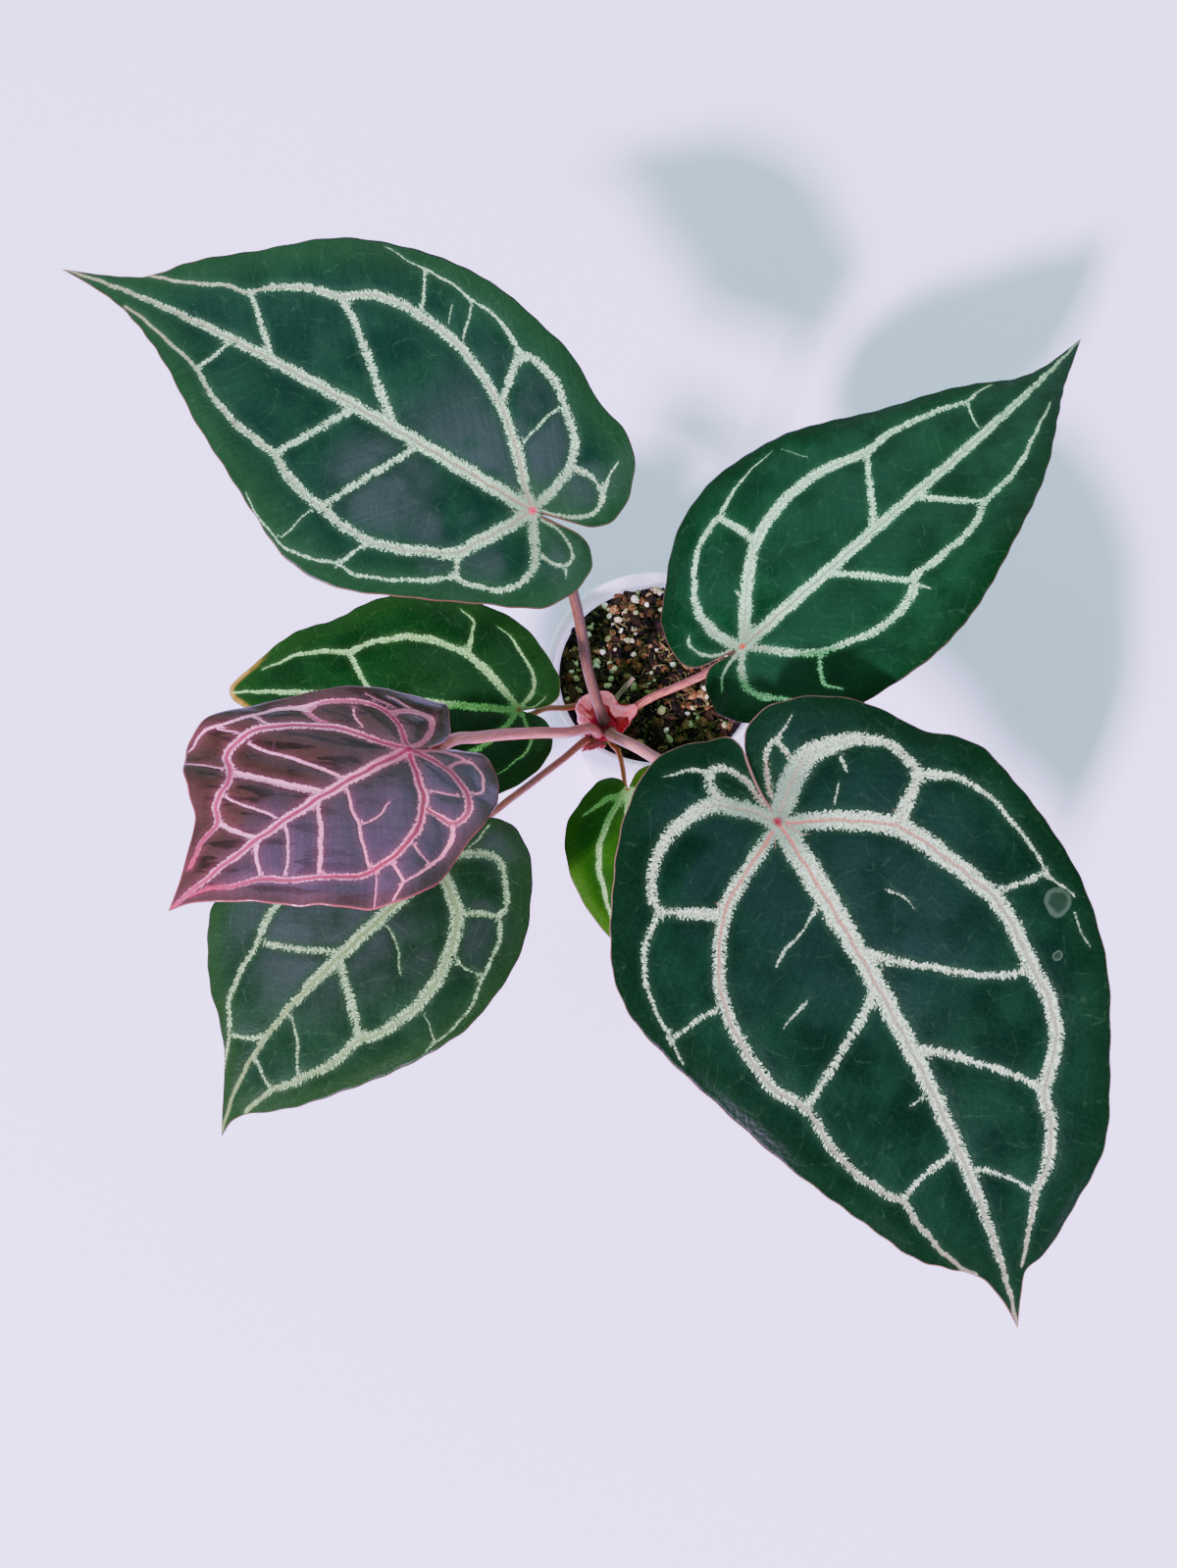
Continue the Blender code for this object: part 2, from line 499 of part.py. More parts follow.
def build_stub(material):
    leave = outward(OLD_STALK["bearing"])
    first = stem_point(OLD_STALK["axis_height"], OLD_STALK["bearing"], STEM_RADIUS + GAP)
    line = smooth_path([first, first + 0.002 * leave] + [np.array(p) * MM for p in OLD_STALK["through"]], 3)
    radii = np.linspace(*OLD_STALK["radius"], len(line)) * MM
    return make_object("old_petiole_stub", *tube(line, radii, 8, 0, (leave, line[-1] - line[-2])), material)


def clear_scene():
    for obj in list(bpy.data.objects):
        bpy.data.objects.remove(obj, do_unlink=True)


def main():
    clear_scene()
    plastic = make_material("pot_plastic", (0.78, 0.77, 0.82, 1), 0.35)
    earth = make_material("bark_mix", (0.045, 0.030, 0.018, 1), 0.95)
    rind = make_material("stem_rind", (0.300, 0.130, 0.110, 1), 0.6)
    coral = make_material("sheath_coral", CORAL, 0.4)
    papery = make_material("sheath_papery", PAPERY, 0.6)
    dry = make_material("old_stalk_dry", (0.300, 0.280, 0.200, 1), 0.8)
    build_pot(plastic)
    build_soil(earth)
    build_stem(rind)
    for name, spec in SHEATHS.items():
        make_object(name, *sheath(spec), papery if name == "sheath_front" else coral)
    for name, leaf in LEAVES.items():
        green = make_material(f"blade_{name}_face", leaf["colour"], 0.45)
        stalk = make_material(f"petiole_{name}_skin", PETIOLES[name]["colour"], 0.5)
        vertices, faces, seat, normal = blade(leaf)
        make_object(f"blade_{name}", vertices, faces, green)
        make_object(f"petiole_{name}", *petiole(PETIOLES[name], seat, normal), stalk)
    build_stub(dry)


main()
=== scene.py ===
import math

import bpy
import numpy as np
from bpy.props import FloatProperty, FloatVectorProperty, IntProperty, PointerProperty
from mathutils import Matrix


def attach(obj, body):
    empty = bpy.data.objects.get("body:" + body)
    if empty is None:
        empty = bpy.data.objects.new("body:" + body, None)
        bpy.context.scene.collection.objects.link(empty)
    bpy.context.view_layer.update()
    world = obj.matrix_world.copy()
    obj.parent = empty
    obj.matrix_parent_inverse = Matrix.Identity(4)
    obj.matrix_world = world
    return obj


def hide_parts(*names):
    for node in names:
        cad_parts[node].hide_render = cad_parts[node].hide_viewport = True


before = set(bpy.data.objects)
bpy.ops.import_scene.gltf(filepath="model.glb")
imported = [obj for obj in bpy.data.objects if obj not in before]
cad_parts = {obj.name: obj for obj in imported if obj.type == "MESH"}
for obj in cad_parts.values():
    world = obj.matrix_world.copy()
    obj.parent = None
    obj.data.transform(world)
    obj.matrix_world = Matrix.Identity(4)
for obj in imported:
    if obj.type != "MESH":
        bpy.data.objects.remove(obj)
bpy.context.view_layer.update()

bl_info = {
    "name": "Potted anthurium",
    "version": (1, 0, 0),
    "blender": (4, 5, 0),
    "location": "View3D > Sidebar > Anthurium",
    "description": "Dresses a potted anthurium: veined blades, stalks, crown, bark mix, pot and stage",
    "category": "Add Mesh",
}

MM = 0.001
LENGTH = dict(unit="LENGTH", subtype="DISTANCE", precision=5)
COLOUR = dict(subtype="COLOR", size=3, min=0.0, max=1.0)

# Pot, soil and stem, in metres, as in the part.
POT_HEIGHT, POT_RIM, POT_BASE, POT_WALL, POT_FLOOR, POT_STEP = 0.092, 0.055, 0.0385, 0.0012, 0.0016, 0.0805
POT_SIDE_TOP, POT_NECK = 0.0506, 0.0537
SOIL_EDGE, SOIL_MOUND = 0.0845, 0.0022
STEM_FOOT, STEM_TOP, STEM_RADIUS = (-0.0284, -0.0209, 0.0690), (-0.0272, -0.0397, 0.1035), 0.0066
GAP = 0.0003  # kept between a piece and its neighbour
RIB_SLANT = 0.8  # how far forward a blade's rib runs for each millimetre outwards
LOBE_STEPS, RIB_STEPS = 14, 15
FOLD_WIDTH, CURL_WIDTH, LOBE_LENGTH = 8, 50, 40  # millimetres

# Blades: joint and length as in the part, outlines in millimetres on the flattened blade.
LEAVES = {
    "front_right": dict(
        joint=(0.0321, -0.1323, 0.222), yaw=-61.1, pitch=0, roll=8, droop=36, length=196.2,
        sway=-9.8, bow=-6.3, fold=6, curl=2, lobe=3, wave=1.4, waves=5,
        left=[(-4, 0.5), (-14, 1.2), (-24, 3), (-30, 4.7), (-35.4, 8.8), (-38, 16), (-36.5, 26), (-31, 38),
              (-22, 49), (-9, 57.5), (-2, 61), (5, 68), (13, 73.5), (28, 76.5), (48, 79), (70, 79),
              (90, 74), (112, 66), (132, 57), (150, 46), (162, 33.5), (171, 23), (175.5, 15),
              (177, 8), (184, 4.2)],
        right=[(-4, 0), (-14, 0.6), (-24, 2.4), (-30, 3.9), (-35.5, 2.6), (-39.5, -6), (-42.3, -17),
               (-40.5, -28), (-34, -39), (-22, -52), (-8, -62.5), (6, -71.5), (18, -77), (32, -78.5),
               (50, -74.5), (70, -67.5), (92, -59), (114, -48.5), (134, -38), (150, -28.5), (161, -17.5),
               (170, -8.8), (182, -3.6)]),
    "back_left": dict(
        joint=(-0.0552, -0.0177, 0.245), yaw=157.1, pitch=22, roll=-8, droop=32, length=208.5,
        sway=-18.2, bow=9.4, fold=6, curl=2, lobe=3, wave=1.3, waves=5,
        left=[(-3, 0.6), (-9, -0.4), (-15, -1.6), (-20, -1.8), (-24.5, 0), (-28.5, 6), (-29, 14), (-26, 23),
              (-20, 31), (-11, 36.5), (0, 42), (14, 49.5), (28, 56), (42, 62), (56, 64.7), (68, 63.5),
              (84, 56), (102, 46), (122, 35), (142, 22), (158, 13.5), (174, 7), (192, 3)],
        right=[(-3, -1.2), (-9, -2.8), (-16, -4.4), (-22, -6.2), (-27, -11), (-29.5, -20), (-28, -30),
               (-23, -40), (-14, -47), (-3, -51), (6, -57), (14, -61.5), (30, -65), (48, -68.5),
               (64, -69.5), (80, -67.8), (94, -63), (108, -56), (124, -46), (142, -33), (158, -20),
               (171, -9), (188, -3.4)]),
    "back_right": dict(
        joint=(0.0279, -0.0445, 0.19), yaw=38.2, pitch=20, roll=-15, droop=30, length=217.2,
        sway=29.3, bow=7.3, fold=6, curl=2, lobe=3, wave=1.3, waves=5,
        left=[(-3, 1.6), (-9, 3.6), (-15, 5.4), (-20, 8.5), (-22.3, 14), (-21, 24), (-16, 36), (-7, 46),
              (4, 57), (16, 65), (30, 70), (46, 73.4), (62, 72), (78, 66), (90, 58), (104, 50),
              (124, 39.5), (144, 27), (160, 17.5), (172, 9.5), (186, 4.2), (202, 1.8)],
        right=[(-3, 0.3), (-9, 2.2), (-15, 2.8), (-20, 0.2), (-24, -8), (-25.3, -17), (-22, -26),
               (-14, -36.5), (-3, -46), (10, -53.5), (26, -58.5), (44, -61.5), (64, -59.5), (84, -54.5),
               (104, -48), (124, -40.5), (144, -31.5), (164, -20.5), (184, -10.5), (202, -4.5)]),
    "front_left": dict(
        joint=(-0.0931, -0.1327, 0.176), yaw=-131.2, pitch=6, roll=4, droop=32, length=129.6,
        sway=-23.6, bow=27.7, fold=6, curl=2, lobe=2, wave=1.1, waves=4,
        left=[(-3, 1), (-10, 0.2), (-18, -1.4), (-25, -2.2), (-29.5, 1), (-32, 8), (-30, 17), (-24, 27.5),
              (-14, 36.5), (0, 46.5), (12, 51.5), (28, 55), (40, 56), (50, 54), (66, 48), (84, 38.5),
              (98, 28.5), (110, 16.5), (118, 6.8), (123, 2.8)],
        right=[(-3, -1.2), (-10, -3.6), (-18, -6), (-25, -8.6), (-29, -14), (-29.5, -22), (-25, -32),
               (-14, -42), (0, -48.5), (18, -53.5), (38, -55.3), (56, -53.8), (70, -50), (80, -42.5),
               (90, -31.5), (98, -18.5), (106, -10.5), (117, -4.6)]),
    "mid_left": dict(
        joint=(-0.0659, -0.0436, 0.1305), yaw=181.5, pitch=12, roll=0, droop=30, length=136,
        sway=-24.3, bow=8.5, fold=6, curl=2, lobe=2, wave=1, waves=4,
        left=[(-3, 0.8), (-8, 1.8), (-12, 4), (-15, 10), (-14, 20), (-8, 30), (2, 38), (16, 45), (34, 49.5),
              (52, 49), (72, 43), (92, 33), (110, 21.5), (122, 12), (129, 7), (134, 3.4)],
        right=[(-3, -0.8), (-8, -1.4), (-14, -3.4), (-18.5, -8.5), (-19, -17), (-13, -28.5), (-3, -41),
               (8, -48.5), (24, -54), (40, -56), (54, -53.5), (70, -47.5), (86, -38), (100, -32),
               (114, -22.5), (126, -12.5), (133, -6.6), (136, -2.6)]),
    "small_front": dict(
        joint=(-0.0169, -0.0781, 0.12), yaw=-90.5, pitch=4, roll=0, droop=30, length=77,
        sway=0, bow=0, fold=6, curl=1, lobe=1, wave=0.6, waves=4,
        left=[(-2, 1.2), (-6, 2.4), (-10, 5), (-12.5, 10), (-11, 16), (-5, 22), (4, 26.5), (17, 28.5),
              (30, 27.5), (44, 22), (56, 14.5), (65, 7.5), (71, 3)],
        right=[(-2, -1), (-4.5, -2.6), (-6, -7), (-4.5, -12), (0, -16.5), (8, -22), (17, -27), (28, -27.8),
               (40, -25.3), (52, -19.5), (62, -12.5), (69, -6), (73, -2.4)]),
    "new_pink": dict(
        joint=(-0.0971, -0.1105, 0.235), yaw=-138, pitch=30, roll=2, droop=34, length=97.6,
        sway=2.4, bow=-0.8, fold=4, curl=3, lobe=2, wave=1.6, waves=6,
        left=[(-3, 1.9), (-8, 4), (-13, 5.4), (-18, 7.6), (-22, 12), (-23.2, 19), (-20, 27), (-12, 34),
              (0, 39.5), (12, 43), (24, 47.5), (34, 48.5), (43, 46.3), (54, 39.5), (66, 27.5), (78, 15),
              (86, 7), (92, 2.4)],
        right=[(-3, 0.6), (-8, 2.2), (-13, 2.8), (-19, 0.8), (-25, -5), (-28, -12), (-25, -18),
               (-15, -25.5), (0, -33), (18, -39.8), (36, -45.2), (50, -47.3), (58, -45), (65, -38),
               (69.5, -28.5), (74, -19), (81, -12), (90, -5)]),
}

# Veins, on the same flattened blades: how coloured the middle line is (0 to 1), how strong the pale band is
# (0 to 1), the band's widths at even steps along it, and its points, all in millimetres.
VEINS = {
    "front_right": [
        (1, 1, (9.5, 9.3, 7.4, 6.8, 5.6, 4.7, 3, 0.8), [(0, 0), (66, 0), (131, 0), (196, 0)]),
        (1, 1, (7, 7.6, 7.4, 6, 5.6, 5.3, 4.2, 1.5), [(0, 0), (4, 6), (8, 14), (13, 22), (19, 30),
         (24, 35), (32, 39), (42, 43), (52, 47), (60, 49.5), (70, 50), (84, 49), (98, 49), (108, 46.5),
         (114, 43), (119, 38), (123, 34.5), (132, 32.5), (140, 29.5), (147, 25), (153, 19), (162, 14),
         (168, 10.5), (174, 7)]),
        (0.3, 0.95, (9, 10, 6.5, 4.2, 4.2, 5), [(-3, 3), (-10, 12), (-15, 22), (-14, 30), (-12, 38),
         (-8, 44), (-2, 49), (5, 50), (11, 50), (15, 45), (19, 39), (22, 36)]),
        (0, 1, (5, 3, 2.2, 2, 1.8, 1), [(11, 50), (14, 55), (18, 60), (24, 64), (32, 67), (42, 68.5),
         (54, 70), (62, 69.5), (68, 72), (72, 73.5)]),
        (0, 1, (2.5, 2.5), [(61, 69), (60, 60), (58, 51)]),
        (0.2, 1, (4.5, 3, 2.8, 3.4), [(53, 1), (60, 8), (68, 18), (76, 28), (83, 39), (86, 48)]),
        (0.2, 1, (4.2, 2.8, 3.4), [(90, 2), (97, 11), (106, 20), (114, 28), (123, 34.5)]),
        (0, 1, (2.5, 2), [(134, 1), (139, 8), (146, 14), (153, 19)]),
        (0, 1, (2.8, 3, 2.6), [(-3, 2), (-12, 4), (-19, 7), (-25, 12), (-26, 15), (-20, 16), (-13, 15)]),
        (0, 0.9, (2, 1), [(-26, 16), (-28, 20), (-30, 24)]),
        (0, 0.9, (2, 1.4), [(-8, 31), (-4, 30)]),
        (0, 0.7, (1.2, 1), [(0, 25), (5, 20)]),
        (0, 0.8, (1.6, 0.5), [(40, 20), (44, 22.5), (49, 24)]),
        (0, 0.5, (1.2, 1), [(78, 70.5), (84, 69), (88, 69.4)]),
        (1, 1, (5, 6, 5, 4.5, 4.5, 3.8, 3.2, 2.4, 1), [(0, 0), (4, -7), (8, -15), (12, -23), (17, -31),
         (22, -36), (30, -42), (38, -46.5), (46, -49), (56, -50), (66, -49.5), (75, -48), (82, -44.5),
         (87, -41), (97, -40), (107, -38), (115, -35), (124, -30), (132, -24.5), (140, -23), (148, -20.5),
         (156, -17.5), (164, -13), (168, -10)]),
        (0.3, 1, (7, 7.5, 6.2, 4.8, 4, 4, 5), [(0, 0), (-7, -5), (-13, -11), (-17, -17), (-17, -26),
         (-15, -35), (-11, -42), (-6, -47.5), (0, -51), (7, -52), (11, -46), (15, -40), (18, -35)]),
        (0, 1, (3.5, 2.5, 2, 1), [(7, -52), (11, -58), (17, -64), (25, -68), (34, -70), (44, -70),
         (54, -70.5)]),
        (0, 1, (2.5, 2), [(45, -50), (45, -60), (46, -70)]),
        (0.2, 1, (4.5, 3.2, 3.6), [(67, -2), (71, -9), (76, -18), (81, -28), (85, -36), (87, -41)]),
        (0.2, 1, (3, 2.5), [(126, -2), (127, -10), (128, -18), (131, -25)]),
        (0, 1, (2.2, 3, 3.2, 3.6, 4.4, 5), [(-3, -1), (-12, -1), (-20, -2), (-26, -5), (-28, -10),
         (-24, -13), (-17, -14)]),
        (0, 0.9, (3, 1), [(-28, -11), (-32, -17), (-34, -25)]),
        (0, 0.9, (2.5, 1, 1.5, 2), [(33, -5), (37, -13), (40, -22), (42, -26)]),
        (0, 0.8, (2, 0.8), [(58, -25), (61, -34)]),
        (0, 0.9, (2, 1), [(104, -2), (105, -8)])],
    "back_left": [
        (1, 1, (7, 6.6, 6, 5.5, 5.1, 4.4, 3.2, 2, 0.8), [(0, 0), (70, 0), (140, 0), (208, 0)]),
        (0.7, 1, (6, 5.6, 4.8, 4.3, 4.4, 4, 3.3, 2.4, 1.6, 0.8), [(0, 0), (4, 8), (8, 15), (12, 22),
         (17, 30), (24, 34), (32, 38), (40, 41.5), (48, 43), (58, 42.5), (66, 41), (76, 39), (84, 35.5),
         (90, 32), (98, 30.5), (108, 28.5), (118, 25), (126, 21), (132, 17), (142, 14), (152, 11),
         (162, 8), (172, 6)]),
        (0.3, 1, (5, 4.5, 3, 2.5, 3.5), [(0, 0), (-4, 7), (-8, 14), (-10, 20), (-8, 28), (-3, 34), (4, 37),
         (13, 38), (15, 33), (17, 30)]),
        (0, 1, (3, 2, 1.8, 1.4, 0.8), [(14, 39), (20, 44), (28, 49), (36, 53), (44, 56), (51, 56),
         (60, 59), (68, 60.5), (76, 58.5), (84, 55), (90, 51)]),
        (0, 1, (2, 2), [(51, 56), (48, 49), (46, 43)]),
        (0, 0.9, (0.8, 1.2), [(72, 58), (70, 50), (68, 42)]),
        (0.2, 1, (3.5, 3), [(48, 2), (52, 11), (57, 21), (61, 30), (65, 39)]),
        (0.2, 1, (4, 3), [(75, 2), (79, 10), (83, 18), (87, 26), (90, 32)]),
        (0, 1, (2.5, 2), [(127, 1), (129, 8), (131, 14), (132, 17)]),
        (0, 1, (1.8, 2, 2.5), [(-3, 1), (-12, 1.5), (-18, 4), (-21, 8), (-20, 12), (-16, 14), (-11, 14)]),
        (0, 0.9, (1.5, 1), [(-20, 12), (-22, 16)]),
        (0.7, 1, (4.5, 5, 4.6, 4.5, 4.8, 4.9, 4.3, 4, 3.5, 2.3, 1.6, 1), [(0, 0), (6, -6), (13, -14),
         (20, -21), (28, -28), (36, -33), (46, -38), (56, -41.5), (66, -43), (76, -43.5), (86, -42),
         (94, -38), (99, -34), (108, -32.5), (116, -29.5), (123, -26), (128, -22), (131, -19.5),
         (140, -18), (150, -14), (160, -11), (172, -9)]),
        (0.3, 1, (4.5, 4.5, 4, 4.5, 4, 4, 3), [(0, 0), (-2, -8), (-4, -16), (-4, -24), (-2, -31), (3, -37),
         (9, -43), (15, -48), (22, -50.5), (30, -50), (31, -43), (30, -36), (29, -30)]),
        (0, 0.8, (1.5, 1.5), [(15, -20), (13, -30), (10, -40)]),
        (0, 1, (3, 2, 1.6, 1.2, 0.7), [(31, -50), (38, -54), (46, -58), (56, -59), (66, -61), (76, -61),
         (86, -60.5), (94, -61)]),
        (0, 0.9, (1.3, 1.3), [(52, -42), (54, -50), (56, -58)]),
        (0, 1, (2, 1.8), [(71, -46), (74, -53), (77, -60)]),
        (0, 0.8, (0.8, 0.8), [(59, -44), (62, -53)]),
        (0.2, 1, (4, 3.5), [(60, -2), (67, -8), (75, -15), (83, -22), (91, -29), (99, -34)]),
        (0.2, 1, (3.5, 2.5), [(112, -2), (118, -8), (124, -14), (130, -19)]),
        (0, 1, (1.8, 2.6, 3.5), [(-3, -2), (-10, -4), (-17, -8), (-21, -14), (-20, -20), (-14, -23),
         (-6, -23)]),
        (0, 0.9, (2.5, 1), [(-20, -20), (-19, -26), (-19, -33)])],
    "back_right": [
        (0.8, 1, (6.5, 6, 5.5, 5.1, 4.8, 4.5, 3.6, 2.4, 0.8), [(0, 0), (72, 0), (144, 0), (217, 0)]),
        (0.5, 1, (5, 5.5, 5, 5.4, 5.2, 4.6, 4, 3.4, 2.6, 0.6), [(0, 0), (6, 6), (14, 15), (22, 23),
         (30, 30), (38, 35), (46, 37.5), (56, 39.5), (66, 39.5), (76, 38), (86, 34.5), (96, 31), (106, 31),
         (116, 29), (124, 26), (132, 23), (140, 19), (146, 16.5), (152, 17), (160, 15)]),
        (0.3, 1, (5, 4.6, 3.6, 2.9, 3, 3.4, 4), [(0, 0), (-3, 8), (-4, 17), (-3, 25), (0, 33), (4, 38),
         (10, 45), (16, 50), (23, 53), (31, 55), (33, 48), (34, 42), (35, 36)]),
        (0, 1, (2.8, 1.6, 0.4), [(31, 55), (37, 58), (44, 61), (51, 63), (60, 64), (68, 63.5)]),
        (0, 0.5, (0.6, 0.6), [(72, 60), (76, 49)]),
        (0, 0.8, (1.5, 1.5), [(14, 16), (14, 21)]),
        (0.1, 1, (3.5, 3), [(72, 1), (78, 8), (85, 17), (90, 24), (96, 30)]),
        (0, 0.9, (0.8, 2), [(138, 2), (140, 9), (144, 15)]),
        (0, 1, (2.5, 2, 1.5), [(-3, 2), (-9, 5), (-14, 11), (-15, 17), (-13, 20)]),
        (0.5, 1, (3.5, 4, 3.7, 4, 4, 3.6, 3.4, 2.8, 2.2, 1), [(0, 0), (5, -7), (10, -15), (15, -22),
         (20, -27), (28, -31), (36, -35), (44, -37), (54, -36.5), (62, -34), (66, -30), (76, -30.5),
         (86, -31), (96, -31), (104, -28.5), (110, -25.5), (120, -25), (130, -24), (140, -21.5),
         (150, -18), (160, -15), (170, -12)]),
        (0.2, 1, (3.5, 4, 4, 3, 2), [(0, 0), (-5, -6), (-9, -12), (-10, -19), (-8, -25), (-4, -30),
         (0, -36)]),
        (0, 0.9, (2.5, 1.5), [(-3, -1), (-10, -2), (-15, -5), (-18, -9)]),
        (0, 1, (3, 1.5), [(19, -28), (14, -34), (12, -39), (15, -45)]),
        (0.1, 1, (4, 3), [(46, -2), (52, -10), (57, -18), (62, -26), (65, -30)]),
        (0.1, 1, (4, 3), [(95, -2), (100, -10), (105, -18), (110, -25)]),
        (0, 0.9, (2, 1), [(65, -33), (67, -38)])],
    "front_left": [
        (1, 1, (5, 5, 5, 3.6, 2.2, 0.8), [(0, 0), (43, 0), (86, 0), (129, 0)]),
        (0.7, 1, (5, 5, 4.7, 4.4, 4, 3.2, 1.5), [(0, 0), (3, 8), (7, 16), (10, 21), (18, 27), (26, 31.5),
         (36, 35), (46, 36), (56, 34.5), (64, 32), (67, 29.5), (78, 28.5), (88, 24), (96, 19), (103, 14),
         (110, 10.5), (116, 8)]),
        (0.1, 1, (4, 4, 3, 2.8, 3), [(-2, 0), (-9, 4), (-14, 9), (-17, 15), (-14, 22), (-9, 28), (-3, 33),
         (0, 33), (4, 27), (9, 22)]),
        (0, 1, (2.5, 2, 1.6, 1), [(0, 33), (6, 39), (14, 43), (22, 46), (30, 50), (38, 52), (46, 52),
         (54, 51)]),
        (0, 0.9, (1.6, 1.2, 2.5), [(22, 46), (23, 41), (24, 35)]),
        (0, 0.8, (1, 0.6), [(50, 51), (47, 44), (45, 38)]),
        (0.1, 1, (3.5, 3.5), [(52, 2), (56, 9), (60, 17), (64, 24), (67, 29)]),
        (0, 0.8, (1.2, 1.2), [(30, 3), (33, 12), (37, 18), (40, 22)]),
        (0, 0.9, (1.5, 1.8), [(78, 2), (82, 9), (88, 16), (92, 19.5)]),
        (0, 1, (1.8, 1.8), [(99, 1), (101, 7), (103, 13)]),
        (0, 0.9, (1.5, 1.5), [(-25, 3), (-20, 4), (-14, 4)]),
        (0.3, 1, (3.5, 3.5, 3.3, 3, 2.4, 1), [(0, 0), (5, -7), (11, -15), (19, -22), (28, -28),
         (38, -31.5), (50, -32.5), (58, -31.5), (66, -27.5), (74, -25.5), (82, -23.5), (90, -20),
         (96, -15), (100, -12), (108, -9), (116, -6)]),
        (0.1, 1, (3, 2.8), [(50, -2), (55, -9), (60, -16), (65, -24)]),
        (0, 1, (2.5, 2), [(92, -2), (95, -5), (98, -11)]),
        (0, 1, (3.5, 3, 3), [(-2, -2), (-7, -7), (-11, -14), (-10, -22), (-5, -30), (2, -35), (9, -32),
         (14, -25)])],
    "mid_left": [
        (0.3, 1, (5, 5, 4.6, 4.2, 3.4, 1.5), [(0, 0), (45, 0), (90, 0), (135, 0)]),
        (0.2, 1, (4, 5, 4.6, 4.5, 3.7, 3.4, 2.4, 1), [(0, 0), (5, -7), (11, -14), (17, -20), (23, -25),
         (32, -29), (42, -31.5), (52, -31.5), (62, -29), (70, -26.5), (77, -22), (86, -21.5), (96, -20),
         (104, -18), (112, -14), (119, -11.5)]),
        (0, 1, (3.5, 2.8, 2, 0.8), [(0, 0), (-4, -6), (-7, -12), (-6, -19), (-3, -25), (1, -31), (5, -37),
         (10, -41)]),
        (0, 0.8, (2, 1), [(-3, -1), (-8, -3), (-12, -7)]),
        (0, 1, (3, 2, 1), [(23, -28), (22, -36), (21, -43), (27, -48)]),
        (0, 1, (3, 3.5), [(62, -1), (68, -5), (73, -13), (77, -20)]),
        (0.2, 1, (4, 4, 3.6, 3, 1), [(0, 0), (4, 6), (10, 13), (17, 20), (25, 25), (35, 29), (48, 30.5),
         (62, 28), (76, 23.5), (90, 19), (104, 14), (118, 8)]),
        (0, 1, (3, 2.4, 1.6, 0.8), [(0, 0), (-3, 6), (-5, 14), (-3, 21), (1, 25), (5, 29), (9, 32)]),
        (0, 1, (3, 3), [(56, 1), (64, 12), (72, 24)])],
    "small_front": [
        (0, 1, (4, 3.4, 2.6, 1.6, 0.8), [(0, 0), (26, 0), (51, 0), (77, 0)]),
        (0, 1, (3.4, 3.2, 2.8, 1.2), [(0, 0), (4, -3), (12, -7), (20, -10.5), (28, -12.6), (38, -12.5),
         (46, -10.5), (56, -8), (64, -6)]),
        (0, 1, (3.4, 3, 1.4), [(0, 0), (3, -4), (4, -8), (8, -13), (13, -19)]),
        (0, 1, (3.4, 3.2, 2.8, 1.2), [(0, 0), (4, 3), (12, 7), (20, 10.5), (28, 12.6), (38, 12.5),
         (46, 10.5), (56, 8), (64, 6)]),
        (0, 1, (3.4, 3, 1.4), [(0, 0), (1, 5), (2, 10), (6, 15), (11, 20)])],
    "new_pink": [
        (1, 1, (6, 5, 4.5, 4, 3.4, 2.8, 1.6), [(0, 0), (32, 0), (64, 0), (97, 0)]),
        (1, 1, (3.5, 4, 4, 3.3, 3, 2.9, 2.2, 1), [(0, 0), (3, 6), (7, 14), (11, 21), (16, 25.5),
         (22, 29.5), (30, 32), (40, 32.5), (48, 30.5), (53, 27), (57, 23), (64, 18), (70, 12), (78, 8),
         (84, 3), (90, 1)]),
        (0.8, 1, (4, 3.6, 3), [(0, 0), (-4, 6), (-6, 13), (-6, 20), (-4, 26), (-1, 31), (5, 34), (9, 33),
         (11, 28), (13, 23)]),
        (0.1, 1, (2.5, 1.6, 1), [(9, 34), (13, 38), (20, 41), (28, 42.5), (37, 42.5), (43, 44.5)]),
        (0, 0.9, (1.2, 1.2), [(26, 42), (26, 36), (25.5, 31)]),
        (0, 0.9, (1.5, 1.5), [(37, 42), (36, 36), (35, 33)]),
        (0, 0.7, (0.8, 0.8), [(49, 42), (45, 38), (42, 34)]),
        (0, 1, (2, 1.5), [(-6, 13), (-12, 13), (-16, 14), (-17, 20), (-14, 25), (-10, 28), (-6, 27)]),
        (0, 0.9, (2, 2), [(-16, 14), (-13, 9), (-9, 5), (-3, 2)]),
        (0, 0.9, (1.2, 1.2), [(7, 17), (3, 22), (-1, 26)]),
        (0.2, 1, (1.4, 1.5), [(28, 1), (32, 8), (35, 16), (39, 24), (42, 31)]),
        (0, 0.8, (1, 1), [(22, 15), (27, 17.5), (32, 17), (35, 16)]),
        (0.3, 1, (2.2, 2.2), [(40, 1), (45, 9), (50, 16), (55, 22)]),
        (0, 0.9, (1.5, 1), [(53, 1), (57, 8), (62, 14), (65, 17)]),
        (0.2, 1, (2, 1.5), [(64, 1), (67, 5), (70, 11)]),
        (1, 1, (4, 4, 3.6, 4, 3.6, 3.2, 2.6, 1.5), [(0, 0), (5, -6), (11, -14), (17, -21), (24, -26),
         (32, -31), (40, -34), (47, -34), (53, -31), (55, -26), (57, -23.5), (62, -21), (66, -18),
         (69, -13.5), (76, -11), (84, -7)]),
        (0.8, 1, (3.5, 3, 2), [(0, 0), (-3, -7), (-5, -14), (-3, -21), (2, -26), (8, -30), (15, -32.5),
         (20, -31), (19, -26), (18, -22)]),
        (0, 1, (2.5, 3, 3.5, 3), [(-1, -1), (-8, -1), (-14, -4), (-18, -9), (-16, -13), (-10, -16),
         (-5, -17)]),
